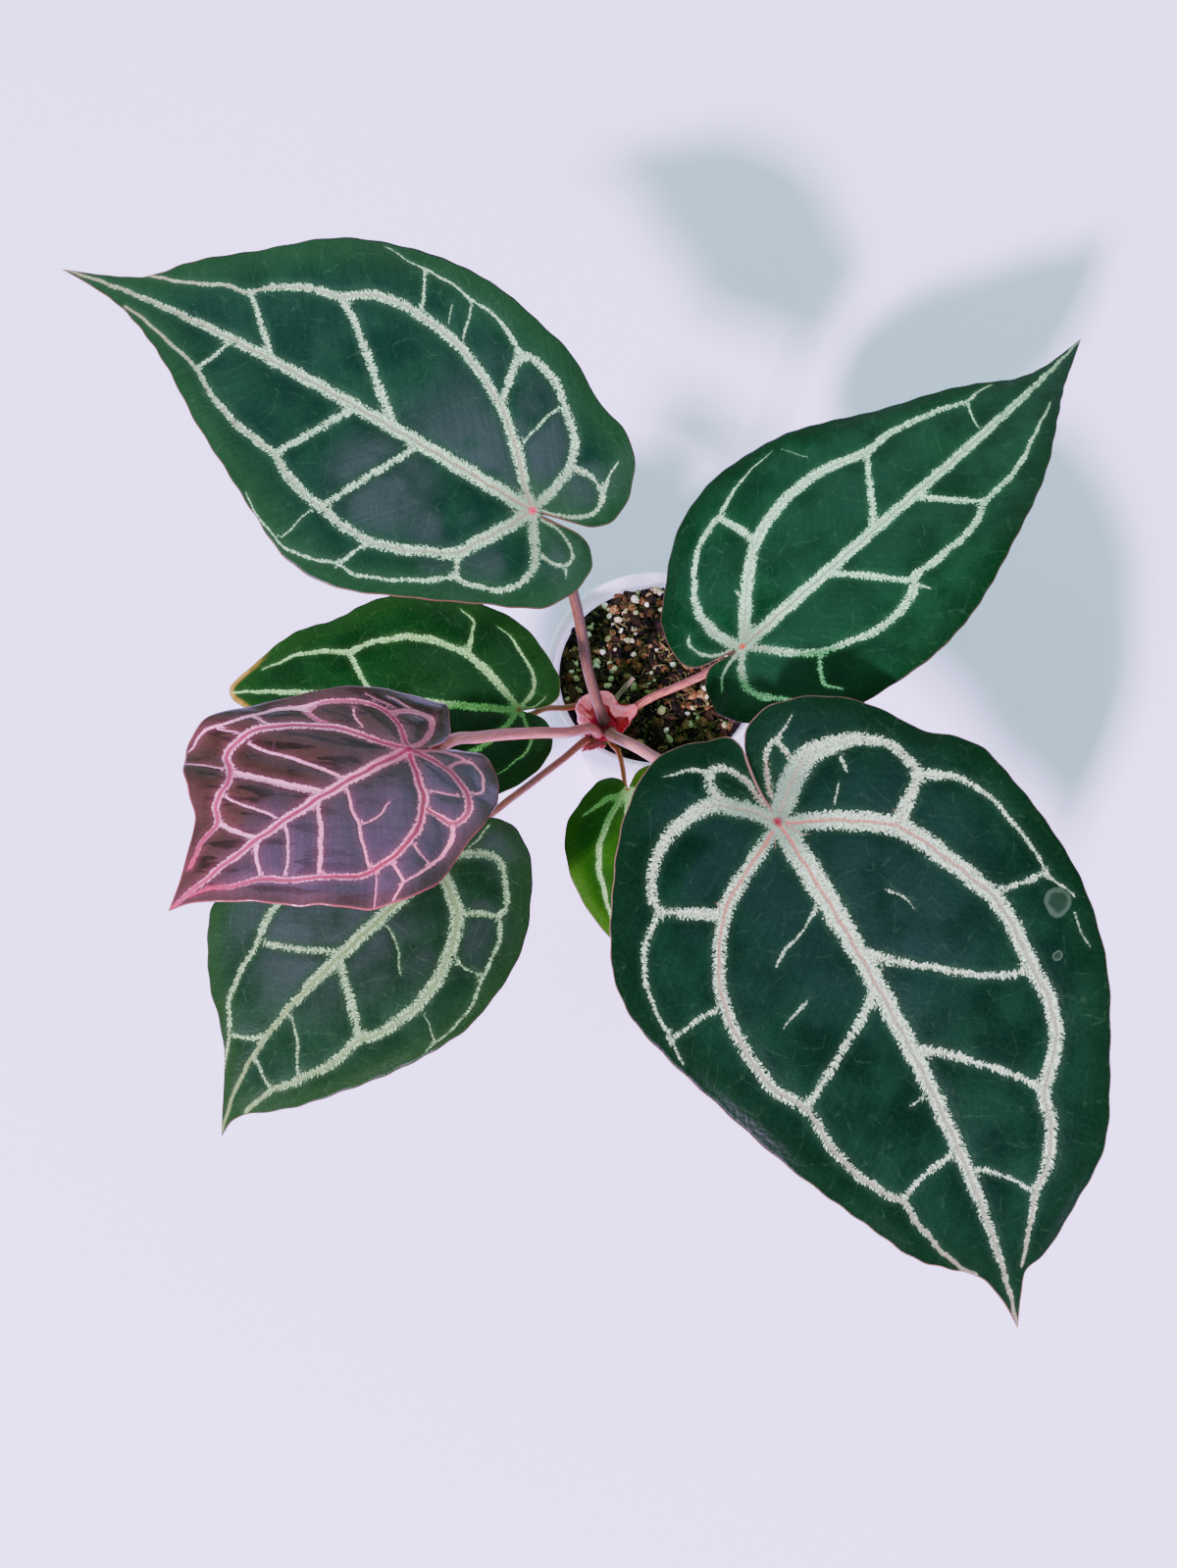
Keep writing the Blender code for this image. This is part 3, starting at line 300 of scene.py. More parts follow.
        (0, 0.9, (2, 1), [(-14, -17), (-12, -22), (-10, -24)]),
        (0, 0.8, (1.5, 0.8), [(-8, -20), (-4, -26), (-3, -28)]),
        (0.1, 1, (2.5, 1.8, 1), [(15, -33), (22, -35), (29, -38.5), (38, -40), (46, -42), (54, -44),
         (60, -42)]),
        (0, 0.9, (1.5, 1.5), [(20, -32), (24, -37)]),
        (0, 0.9, (1.2, 1.2), [(34, -33), (37, -40)]),
        (0, 0.9, (1, 1), [(44, -36), (49, -42)]),
        (0, 0.9, (1, 1), [(57, -29), (60, -33), (64, -37)]),
        (0.2, 1, (2, 1.5), [(28, -2), (31, -9), (36, -17), (41, -24), (44, -31)]),
        (0.3, 1, (3, 3), [(37, -2), (43, -9), (49, -17), (55, -25)]),
        (0, 0.9, (1.2, 1.2), [(53, -1), (57, -9), (61, -17), (62, -20)]),
        (0.2, 1, (2, 2), [(64, -2), (66, -6), (69, -13)]),
        (0, 0.9, (1.2, 1.2), [(8, -17), (7, -22), (6, -24)])],
}

# Petioles: as in the part.
PETIOLES = {
    "front_right": dict(top=True, bearing=-35, radius=(2.8, 2.4), through=[
        (-24.6, -44.8, 108), (-19, -50.8, 114), (-12.3, -59.1, 124), (-5.2, -69.7, 136), (9.8, -91.4, 164),
        (22.9, -114.1, 197)]),
    "back_left": dict(top=True, bearing=90, radius=(2.6, 2.2), through=[
        (-28, -37.8, 112), (-31, -35.8, 127), (-34.5, -31.7, 145), (-37, -27.4, 168), (-39.8, -23.8, 190),
        (-44.4, -20.8, 214)]),
    "new_pink": dict(top=True, bearing=215, radius=(2.6, 2.3), through=[
        (-32.6, -44.6, 113), (-43.4, -54.4, 130), (-55.6, -64.4, 151), (-66.8, -74.4, 171),
        (-76.9, -86, 193), (-87.4, -98.4, 214)]),
    "back_right": dict(axis_height=95.5, bearing=24, radius=(2, 1.8), through=[
        (-15.2, -30.2, 101.5), (-6.6, -27.5, 109), (6.3, -28.9, 125), (15.7, -33.2, 144),
        (22.6, -38.4, 165)]),
    "front_left": dict(axis_height=99, bearing=225, radius=(1.9, 1.6), through=[
        (-35.4, -44.8, 100.5), (-45.9, -57.4, 108), (-58.8, -74.2, 121), (-72.4, -94, 139),
        (-83.8, -113, 156)]),
    "mid_left": dict(axis_height=93, bearing=125, radius=(1.6, 1.4), through=[
        (-37.3, -26, 98.5), (-46.2, -29, 103), (-55.3, -33.4, 111)]),
    "small_front": dict(axis_height=97, bearing=-62, radius=(1.35, 1.15), through=[
        (-20.7, -48.6, 97.5), (-18.6, -59.2, 102)]),
}
# Sheaths: the height of the foot along the stem's axis, then, round the stem, the bearing, and the radius and
# height of the bulge and of the free margin; all from the stem's top, in millimetres.
SHEATHS = {
    "sheath_right": (-6.5, [
        (108, 14.5, -6.5, 12.5, -2), (96, 16.5, -6, 12.5, -0.5), (82, 16.5, -5.5, 10, 1.5),
        (68, 14, -5, 8.4, 3.6), (54, 12.8, -4.4, 7.4, 5), (44, 14.6, -3.6, 8, 5.2),
        (34, 18.6, -2.2, 10.2, 4.2), (26, 16.6, -2.6, 12, 3.2), (16, 12.2, -3, 12.2, 2.6),
        (2, 9.8, -3.4, 10.4, 2.4), (-14, 8.6, -3.8, 8.6, 2)]),
    "sheath_left": (-7, [
        (112, 16, -7.5, 13.5, -3.5), (120, 17, -7, 11.5, -1), (128, 17, -6, 9.4, 1),
        (136, 16.4, -6.4, 11.6, -2.2), (144, 16, -6.2, 9.2, 1.2), (154, 13.6, -5, 8, 3),
        (166, 12.2, -4.2, 7.8, 3.2), (178, 10.4, -4, 8, 2.2)]),
    "sheath_front": (-8.5, [
        (206, 9.2, -5, 9.4, -0.5), (216, 11.6, -5, 12.2, 0.2), (226, 13.4, -4, 15, 0.6),
        (236, 12, -5, 13, 0.4), (248, 9.8, -5.5, 10.6, 0.8), (262, 8.6, -5.5, 9.8, 0.6),
        (276, 8, -6, 8.6, -0.4)]),
}
SHEATH_RADIUS, SHEATH_GRID = 7, (88, 30)
# Waves along a sheath whose sum tears its margin.
TEARS = (9, 17, 29, 43, 61, 97)
# Each sheath's tearing along its free margin, and the seed of its draws.
TEARING = {"sheath_right": (0.012, 3), "sheath_left": (0.03, 5), "sheath_front": (0.10, 9)}
# The stem's girth: heights on its axis in millimetres, and shares of its radius.
STEM_GIRTH = ((69.0, 0.55), (71.5, 0.78), (75.0, 0.90), (80.0, 0.95), (85.0, 0.90), (89.0, 0.97), (92.0, 0.93),
              (94.5, 0.99), (97.0, 0.95), (99.5, 0.99), (101.8, 0.97), (103.5, 0.90))
# The old stalk's height and bearing on the stem, and the points it runs through, in metres.
OLD_STALK = (95, 66, ((-0.0214, -0.0214, 0.0972), (-0.0126, -0.0114, 0.1004)))
# How far a stalk's swelling under its blade reaches, and its foot's reach and depth, as a share.
BLADE_SWELLING, FOOT_SWELLING = 6.5, (4.0, 0.22)


# ---- shared shapes ----
def unit(v):
    """Each vector over its own length."""
    v = np.asarray(v, float)
    return v / np.maximum(np.linalg.norm(v, axis=-1, keepdims=True), 1e-12)


def turn(axis, angle):
    """The matrix, or one for each angle of an array, that turns a vector about one of the frame's axes."""
    c, s = np.cos(angle), np.sin(angle)
    zero, one = np.zeros_like(c), np.ones_like(c)
    rows = dict(x=(one, zero, zero, zero, c, -s, zero, s, c), y=(c, zero, s, zero, one, zero, -s, zero, c),
                z=(c, -s, zero, s, c, zero, zero, zero, one))[axis]
    return np.stack(rows, axis=-1).reshape(np.shape(c) + (3, 3))


def smooth_path(points, steps):
    """A cubic through the points whose slope at each is the mean of its two chords' directions."""
    p = np.asarray(points, float)
    chord = np.diff(p, axis=0)
    size = np.linalg.norm(chord, axis=1, keepdims=True)
    slope = chord / size
    inner = (slope[:-1] * size[1:] + slope[1:] * size[:-1]) / (size[1:] + size[:-1])
    slope = np.vstack([slope[0], inner, slope[-1]])
    t = np.linspace(0, 1, steps, endpoint=False)[:, None]
    runs = [(1 + 2 * t) * (1 - t) ** 2 * a + t**2 * (3 - 2 * t) * b
            + t * (1 - t) * d * ((1 - t) * m - t * n)
            for a, b, m, n, d in zip(p, p[1:], slope, slope[1:], size)]
    return np.vstack(runs + [p[-1][None]])


def lengths(points):
    """How far along the polyline each of its points is."""
    return np.concatenate([[0], np.cumsum(np.linalg.norm(np.diff(points, axis=0), axis=1))])


def sample(points, along, at):
    """The polyline, whose points are at along, read at the places at."""
    return np.stack([np.interp(at, along, column) for column in points.T], axis=-1)


def even(points, count):
    """The polyline read at so many places, evenly along its length."""
    along = lengths(points)
    return sample(points, along, np.linspace(0, along[-1], count))


def ease(x, low, high):
    """A smooth step from 0 at low to 1 at high."""
    t = np.clip((x - low) / (high - low), 0, 1)
    return t * t * (3 - 2 * t)


def grid_faces(rows, columns, closed=False):
    """Quads of a grid of points numbered row by row; closed joins the last column to the first."""
    r = np.arange(rows - 1)[:, None]
    c = np.arange(columns if closed else columns - 1)[None]
    n = (c + 1) % columns
    a, b = r * columns + c, r * columns + n
    return np.stack([a, b, b + columns, a + columns], axis=-1).reshape(-1, 4)


def rim_faces(loop, count):
    """The quads between a loop of points and the same loop among the next count points."""
    ahead = np.roll(loop, -1)
    return np.stack([ahead, loop, loop + count, ahead + count], axis=-1)


def unpinched(quads):
    """The quads with four corners, and triangles from those with two equal neighbouring corners."""
    repeat = quads == np.roll(quads, 1, axis=1)
    pinches = repeat.sum(axis=1)
    return quads[pinches == 0], quads[pinches == 1][~repeat[pinches == 1]].reshape(-1, 3)


def piece(name, points, faces, materials, crease, uv=None, values=None, indices=None):
    """A smooth-shaded object with its place in its mesh; values become one float attribute each."""
    mesh = bpy.data.meshes.new(name)
    groups = faces if isinstance(faces, list) else [faces]
    groups = [np.asarray(g, np.int32) for g in groups if len(g)]
    corners = np.concatenate([g.reshape(-1) for g in groups])
    totals = np.concatenate([np.full(len(g), g.shape[1], np.int32) for g in groups])
    mesh.vertices.add(len(points))
    mesh.vertices.foreach_set("co", np.asarray(points, np.float32).reshape(-1))
    mesh.loops.add(len(corners))
    mesh.loops.foreach_set("vertex_index", corners)
    mesh.polygons.add(len(totals))
    mesh.polygons.foreach_set("loop_start", np.concatenate([[0], np.cumsum(totals)[:-1]]).astype(np.int32))
    mesh.update(calc_edges=True)
    mesh.polygons.foreach_set("use_smooth", np.ones(len(totals), bool))
    if indices is not None:
        mesh.polygons.foreach_set("material_index", np.asarray(indices, np.int32))
    if uv is not None:
        layer = mesh.uv_layers.new(name="chart")
        layer.data.foreach_set("uv", np.asarray(uv, np.float32)[corners].reshape(-1))
    for key, array in (values or {}).items():
        mesh.attributes.new(key, "FLOAT", "POINT").data.foreach_set("value", np.asarray(array, np.float32))
    for material in materials:
        mesh.materials.append(material)
    mesh.validate()
    if crease:
        mesh.set_sharp_from_angle(angle=math.radians(crease))
    obj = bpy.data.objects.new(name, mesh)
    bpy.context.scene.collection.objects.link(obj)
    return obj


def even_tone(name, mesh, material, tone, crease):
    """A piece of one tone all over, from a mesh function's points and faces."""
    points, faces = mesh[:2]
    return piece(name, points, faces, [material], values=dict(tone=np.full(len(points), tone)), crease=crease)


def fit(obj, slot, *nodes):
    """Fixes a piece to the plant, in place of the named nodes; the slot is not used."""
    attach(obj, "root")
    if nodes:
        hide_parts(*nodes)


# ---- materials ----
def operation(kind, swap=False):
    """A method that puts its value and another through one Math node of the kind."""
    return lambda self, other=0.0: self.graph.math(kind, *((other, self) if swap else (self, other)))


class Shade:
    """A number, colour or vector that varies over a piece. Plain arithmetic on it adds Math nodes."""

    def __init__(self, graph, socket):
        self.graph, self.socket = graph, socket

    __add__, __mul__, __truediv__ = operation("ADD"), operation("MULTIPLY"), operation("DIVIDE")
    __sub__, __rsub__ = operation("SUBTRACT"), operation("SUBTRACT", swap=True)
    __abs__ = operation("ABSOLUTE")
    highest, lowest = operation("MAXIMUM"), operation("MINIMUM")


class Graph:
    """Adds nodes to a new material's tree. Each method returns a Shade."""

    def __init__(self, name, roughness=0.5, **sockets):
        self.material = bpy.data.materials.new(name)
        self.material.use_nodes = True
        self.tree = self.material.node_tree
        self.shader = self.tree.nodes["Principled BSDF"]
        for key, value in dict(sockets, Roughness=roughness).items():
            self.put(self.shader.inputs[key.replace("_", " ")], value)

    def put(self, socket, value):
        """Links a Shade to a socket, or sets the socket to a number, a vector or a colour."""
        if isinstance(value, Shade):
            self.tree.links.new(value.socket, socket)
        elif hasattr(value, "__len__"):
            value = tuple(value)
            socket.default_value = value + (1.0,) * (len(socket.default_value) - len(value))
        else:
            socket.default_value = value

    def add(self, kind, inputs, output=0, **settings):
        """Adds a node with its settings, fills its inputs by number or name, and gives one of its outputs."""
        node = self.tree.nodes.new(kind)
        for key, value in settings.items():
            setattr(node, key, value)
        for key, value in inputs.items():
            self.put(node.inputs[key], value)
        return Shade(self, node.outputs[output])

    def math(self, kind, a, b):
        return self.add("ShaderNodeMath", {0: a, 1: b}, operation=kind)

    def step(self, value, low, high, start=0.0, end=1.0):
        """A smooth step from start to end as the value goes from low to high."""
        return self.add("ShaderNodeMapRange", dict(enumerate((value, low, high, start, end))),
                        interpolation_type="SMOOTHSTEP")

    def mix(self, factor, a, b):
        """From colour a to colour b as the factor goes from 0 to 1."""
        return self.add("ShaderNodeMix", {0: factor, 6: a, 7: b}, 2, data_type="RGBA")

    def value(self, name):
        return self.add("ShaderNodeAttribute", {}, "Fac", attribute_name=name)

    def chart(self):
        return self.add("ShaderNodeUVMap", {}, uv_map="chart")

    def place(self):
        """Object coordinates in millimetres."""
        metres = self.add("ShaderNodeTexCoord", {}, "Object")
        return self.add("ShaderNodeMapping", {"Vector": metres, "Scale": (1 / MM,) * 3})

    def parts(self, vector):
        """The vector's X, Y and Z."""
        first = self.add("ShaderNodeSeparateXYZ", {0: vector})
        return [Shade(self, socket) for socket in first.socket.node.outputs]

    def join(self, x, y, z=0.0):
        return self.add("ShaderNodeCombineXYZ", {0: x, 1: y, 2: z})

    def distance(self, a, b):
        return self.add("ShaderNodeVectorMath", {0: a, 1: b}, "Value", operation="DISTANCE")

    def noise(self, vector, scale, detail=2.0, rough=0.5):
        return self.add("ShaderNodeTexNoise", {"Vector": vector, "Scale": scale, "Detail": detail,
                                               "Roughness": rough}, "Fac")

    def net(self, vector, scale):
        """The distance from the nearest border between irregular cells."""
        return self.add("ShaderNodeTexVoronoi", {"Vector": vector, "Scale": scale}, "Distance",
                        feature="DISTANCE_TO_EDGE")

    def finish(self, colour, roughness=None, bumps=()):
        """Links the colour, the roughness and each (height, strength, distance in metres) of relief."""
        self.put(self.shader.inputs["Base Color"], colour)
        if roughness is not None:
            self.put(self.shader.inputs["Roughness"], roughness)
        relief = {}
        for height, strength, distance in bumps:
            inputs = dict(relief, Strength=strength, Distance=distance, Height=height)
            relief = {"Normal": self.add("ShaderNodeBump", inputs)}
        for key, value in relief.items():
            self.put(self.shader.inputs[key], value)
        return self.material


def scaled(colour, factor, more=0.0):
    """The colour made darker or lighter, and no component past 1."""
    return tuple(min(1.0, factor * c + more) for c in colour)


# ---- blades ----
# Grid of each half: ribs round the lobe, ribs from the midrib, and points across a rib.
FINENESS = {
    "front_right": (126, 160, 65), "back_left": (100, 168, 58), "back_right": (100, 172, 58),
    "front_left": (74, 108, 46), "mid_left": (70, 112, 46), "small_front": (44, 64, 26),
    "new_pink": (66, 92, 44),
}
CAD_THICKNESS, CAD_KEEL = 0.8, 1.1

# Colours of each blade, in linear light: tissue in its darker and lighter patches, patches of painted sheen
# (on the newest leaf, the violet of a painted reflection), towards the margin, its fine net, the vein bands,
# the haze round the joint, the middle lines near the joint and far from it, the margin's line, the spot at
# the joint, and the underside. Then, in millimetres unless a share: how much wider than drawn the bands are
# on each side, how deep their fibres are and how soft their tips, where the middle lines' tint ends, where the
# mist's patches of painted sheen end, the place along and across and the radius of one more patch of painted
# sheen, the margin zone's width, the halo's width and share, the middle lines' half width, the spot's radius,
# the share of the margin's line, and how much the face reflects. Then, where a leaf has them, the place and
# radius of each clear blister, and the colour of a dry tip.
LOOKS = {
    "front_right": dict(
        dark=(0.0002, 0.0088, 0.0028), light=(0.0026, 0.02, 0.007), sheen_slate=(0.0052, 0.0172, 0.0115),
        rim=(0.001, 0.0125, 0.0022), net=(0.02, 0.044, 0.018), band=(0.385, 0.565, 0.292),
        haze=(0.07, 0.125, 0.066), core=(0.23, 0.05, 0.034), core_far=(0.12, 0.11, 0.058),
        line=(0.15, 0.08, 0.055), spot=(0.1, 0.002, 0.012), under=(0.02, 0.064, 0.013), grow=0.78,
        feather=2.1, soft=0.55, reach=95.0, mist=80.0, patch=(38.0, 12.0, 60.0), zone=17.0, halo=(2.2, 0.05),
        thread=1.0, knot=3.4, edging=0.75, sheen=0.04, marks=((71.5, 67.5, 4.6), (85.0, 58.0, 1.6))),
    "back_left": dict(
        dark=(0.001, 0.015, 0.006), light=(0.0042, 0.027, 0.0104), sheen_slate=(0.026, 0.038, 0.032),
        rim=(0.0085, 0.039, 0.0085), net=(0.026, 0.06, 0.026), band=(0.325, 0.605, 0.272),
        haze=(0.1, 0.185, 0.085), core=(0.165, 0.09, 0.045), core_far=(0.14, 0.13, 0.066),
        line=(0.085, 0.034, 0.02), spot=(0.34, 0.008, 0.04), under=(0.02, 0.064, 0.013), grow=0.6,
        feather=1.8, soft=0.5, reach=60.0, mist=70.0, patch=(52.0, 21.0, 26.0), zone=20.0, halo=(2.4, 0.05),
        thread=0.95, knot=3.2, edging=0.75, sheen=0.07),
    "back_right": dict(
        dark=(0.0004, 0.0175, 0.0036), light=(0.0034, 0.037, 0.01), sheen_slate=(0.005, 0.032, 0.012),
        rim=(0.0003, 0.014, 0.0012), net=(0.024, 0.07, 0.028), band=(0.345, 0.735, 0.314),
        haze=(0.095, 0.19, 0.085), core=(0.13, 0.08, 0.032), core_far=(0.11, 0.14, 0.066),
        line=(0.06, 0.03, 0.018), spot=(0.27, 0.014, 0.012), under=(0.02, 0.068, 0.012), grow=0.95,
        feather=1.8, soft=0.5, reach=45.0, mist=70.0, patch=(70.0, 12.0, 55.0), zone=12.0, halo=(2.0, 0.05),
        thread=0.85, knot=2.9, edging=0.75, sheen=0.05),
    "front_left": dict(
        dark=(0.003, 0.0185, 0.0048), light=(0.0085, 0.031, 0.011), sheen_slate=(0.026, 0.038, 0.03),
        rim=(0.0095, 0.034, 0.0055), net=(0.04, 0.075, 0.03), band=(0.243, 0.44, 0.164),
        haze=(0.09, 0.15, 0.07), core=(0.078, 0.12, 0.022), core_far=(0.09, 0.14, 0.034),
        line=(0.045, 0.032, 0.013), spot=(0.16, 0.045, 0.012), under=(0.022, 0.07, 0.013), grow=1.2,
        feather=2.0, soft=0.55, reach=70.0, mist=60.0, patch=(45.0, -14.0, 46.0), zone=12.0, halo=(2.0, 0.05),
        thread=1.1, knot=3.0, edging=0.7, sheen=0.05),
    "mid_left": dict(
        dark=(0.0004, 0.0155, 0.001), light=(0.0016, 0.027, 0.0028), sheen_slate=(0.005, 0.03, 0.006),
        rim=(0.006, 0.036, 0.0025), net=(0.03, 0.09, 0.02), band=(0.23, 0.54, 0.14),
        haze=(0.095, 0.2, 0.06), core=(0.13, 0.12, 0.03), core_far=(0.13, 0.19, 0.06),
        line=(0.08, 0.08, 0.012), spot=(0.15, 0.042, 0.011), under=(0.024, 0.084, 0.009), grow=0.32,
        feather=1.4, soft=0.45, reach=35.0, mist=50.0, patch=(36.0, -14.0, 26.0), zone=13.0, halo=(2.0, 0.05),
        thread=0.9, knot=2.8, edging=0.8, sheen=0.07, tip=(0.34, 0.2, 0.03)),
    "small_front": dict(
        dark=(0.003, 0.036, 0.0007), light=(0.01, 0.062, 0.0017), sheen_slate=(0.012, 0.064, 0.0022),
        rim=(0.023, 0.08, 0.0024), net=(0.04, 0.11, 0.008), band=(0.215, 0.45, 0.13),
        haze=(0.13, 0.29, 0.07), core=(0.1, 0.2, 0.045), core_far=(0.11, 0.22, 0.05),
        line=(0.055, 0.036, 0.007), spot=(0.16, 0.07, 0.016), under=(0.036, 0.115, 0.008), grow=0.3,
        feather=0.5, soft=0.32, reach=20.0, mist=30.0, patch=(20.0, 8.0, 16.0), zone=9.0, halo=(1.6, 0.06),
        thread=0.7, knot=2.6, edging=0.8, sheen=0.06),
    "new_pink": dict(
        dark=(0.029, 0.0095, 0.006), light=(0.056, 0.0215, 0.015), sheen_slate=(0.068, 0.041, 0.062),
        rim=(0.06, 0.024, 0.02), net=(0.1, 0.04, 0.05), band=(1.0, 0.225, 0.35), haze=(0.32, 0.07, 0.105),
        core=(0.2, 0.002, 0.03), core_far=(0.3, 0.012, 0.05), line=(0.19, 0.04, 0.036),
        spot=(0.26, 0.002, 0.03), under=(0.09, 0.026, 0.028), grow=0.45, feather=1.0, soft=0.5, reach=150.0,
        zone=7.0, halo=(2.4, 0.12), thread=1.05, knot=3.0, edging=0.8, sheen=0.12),
}
RIPPLE, RIPPLE_LENGTH, WAVER = 0.20, 12.0, 0.20
# Steps between two outline points, points of the outline that the margin is measured from, how much closer
# points stand where it turns, and how many chart points are measured at a time.
OUTLINE_STEPS, EDGE_POINTS, TURN_WEIGHT, BLOCK = 24, 900, 30.0, 4096
# In millimetres: the step between a vein's spots and how far one reaches along it, half the width of a slim
# vein, and how far apart the fibres of two veins are read.
SPOT_STEP, SPOT_REACH, SLIM, VEIN_SHIFT = 0.7, 0.4, 2.3, 41.0
# How fast the quilting rises beside a vein, and the length of a rib that waves in full, in millimetres.
QUILT_REACH, LONG_RIB = 5.0, 40.0
# What each point of a blade says of the vein nearest to it.
FIELD = ("offset", "half", "beyond", "along", "core", "strength")
# Scales of the noises and nets on a blade's chart, per millimetre.
GRAIN, PATCHES, CLOUDS, MIST, NET, FINE_NET = 1.15, 0.30, 0.045, 0.028, 0.075, 0.42
# The colour that the newest leaf's bands go over to, and how far the warp moves a clear blister.
LOWER_PINK, MARK_SHIFT = (0.66, 0.290, 0.440), (4.5, 1.5)


def spread(points, count):
    """The plane polyline read at so many places, closer together where it turns."""
    ahead = np.diff(points, axis=0)
    heading = np.unwrap(np.arctan2(ahead[:, 1], ahead[:, 0]))
    turning = np.abs(np.gradient(heading)) * TURN_WEIGHT
    along = np.concatenate([[0], np.cumsum(np.linalg.norm(ahead, axis=1) + turning)])
    return sample(points, along, np.linspace(0, along[-1], count))


def leaf_surface(leaf, s, w):
    """The upper face of a blade at s along its midrib and w across it, in millimetres, as in the part.

    The midrib is bent in a circle's arc, the halves are folded up from it and curled down, the tip is swayed
    to one side, and the whole is rolled, pitched, yawed and set on the joint.
    """
    length = leaf["length"]
    radius = length / math.radians(leaf["droop"])
    angle = s / radius
    rise = math.tan(math.radians(leaf["fold"])) * (np.sqrt(w * w + FOLD_WIDTH**2) - FOLD_WIDTH)
    rise = rise - leaf["curl"] * (w / CURL_WIDTH) ** 2
    rise = rise + leaf["lobe"] * (np.clip(-s, 0, None) / LOBE_LENGTH) ** 2
    share = np.clip(s, 0, None) / length
    across = w + leaf["sway"] * share**2 + leaf["bow"] * share**4
    reach = radius + rise
    local = np.stack([reach * np.sin(angle), across, reach * np.cos(angle) - radius], axis=-1)
    yaw, pitch, roll = (math.radians(leaf[key]) for key in ("yaw", "pitch", "roll"))
    matrix = turn("z", yaw) @ turn("y", -pitch) @ turn("x", roll)
    return local @ matrix.T * MM + np.array(leaf["joint"])


def surface_normal(leaf, s, w):
    """The normal, from the surface half a millimetre further along and across."""
    step, here = 0.5, leaf_surface(leaf, s, w)
    return unit(np.cross(leaf_surface(leaf, s + step, w) - here, leaf_surface(leaf, s, w + step) - here))


def half_ribs(leaf, side, lobes, ribs):
    """Where each rib starts on the midrib, where it ends on the outline, and its share of all ribs."""
    edge = smooth_path(leaf[side] + [(leaf["length"], 0)], OUTLINE_STEPS)
    foot = np.maximum.accumulate(edge[:, 0] - RIB_SLANT * np.abs(edge[:, 1]))
    start = int(np.argmax(foot >= 0))
    feet = np.linspace(0, leaf["length"], ribs + 1)[1:]
    ends = sample(edge[start:], foot[start:], feet)
    share = np.concatenate([np.linspace(0, LOBE_STEPS, lobes), LOBE_STEPS + feet / leaf["length"] * RIB_STEPS])
    feet = np.concatenate([np.zeros(lobes), feet])
    edge = np.vstack([spread(edge[: start + 1], lobes), ends])
    along = lengths(edge)
    ripple = np.sin(along * 2 * math.pi / RIPPLE_LENGTH + 2 * np.sin(along / 23) + start)
    ripple = RIPPLE * ripple * ease(along, 6, 22) * ease(along[-1] - along, 6, 45)
    out = unit(edge - np.column_stack([feet, 0 * feet]))
    return feet, edge + out * ripple[:, None], share / (LOBE_STEPS + RIB_STEPS)


def vein_spots(veins, grow):
    """Every vein as spots: place, direction, half width, place along, middle line, strength.

    Each half width grows by grow, and that of a vein slimmer than SLIM by less.
    """
    spots = []
    for number, (core, strength, widths, points) in enumerate(veins):
        line = smooth_path(points, 8)
        along = lengths(line)
        at = np.linspace(0, along[-1], max(4, int(along[-1] / SPOT_STEP) + 2))
        place = sample(line, along, at)
        half = np.interp(at / along[-1], np.linspace(0, 1, len(widths)), widths) / 2
        half = half + grow * np.minimum((half / SLIM) ** 2, 1)
        same = np.ones_like(at)
        spots.append(np.column_stack([place, unit(np.gradient(place, axis=0)), half, at + VEIN_SHIFT * number,
                                      core * same, strength * same]))
    return np.vstack(spots).astype(np.float32)


def vein_field(charts, spots):
    """What each chart point sees of the vein nearest to it, all in millimetres.

    offset is the signed distance from the vein's middle line, half the band's half width, beyond the
    distance past the band's edge, and along the place along the vein. The veins waver by sums of sines.
    """
    s, w = charts.T
    charts = charts + WAVER * np.stack([np.sin(0.55 * w + 0.3 * s + 1.3) + 0.5 * np.sin(1.1 * s - 0.7 * w),
                                        np.sin(0.5 * s + 0.9) + 0.5 * np.sin(1.2 * w + 0.8 * s + 2)], axis=-1)
    found = []
    for low in range(0, len(charts), BLOCK):
        part = charts[low:low + BLOCK].astype(np.float32)
        near = np.hypot(part[:, :1] - spots[:, 0], part[:, 1:] - spots[:, 1]) - spots[:, 4]
        best = near.argmin(axis=1)
        spot = spots[best]
        gap = part - spot[:, :2]
        forward = (gap * spot[:, 2:4]).sum(axis=1)
        offset = spot[:, 2] * gap[:, 1] - spot[:, 3] * gap[:, 0]
        over = np.clip(np.abs(forward) - SPOT_REACH, 0, None)
        far = np.hypot(offset, over)
        sign = np.where(offset < 0, -1.0, 1.0)
        found.append(np.column_stack([sign * far, spot[:, 4], far - spot[:, 4], spot[:, 5] + forward,
                                      spot[:, 6], spot[:, 7]]))
    return dict(zip(FIELD, np.vstack(found).T))


def margin_distance(charts, edges):
    """The distance from each chart point to the nearest point of its own half's outline, in millimetres."""
    found = []
    for low in range(0, len(charts), BLOCK):
        part = charts[low:low + BLOCK].astype(np.float32)
        found.append(np.hypot(part[:, :1] - edges[:, 0], part[:, 1:] - edges[:, 1]).min(axis=1))
    return np.concatenate(found)


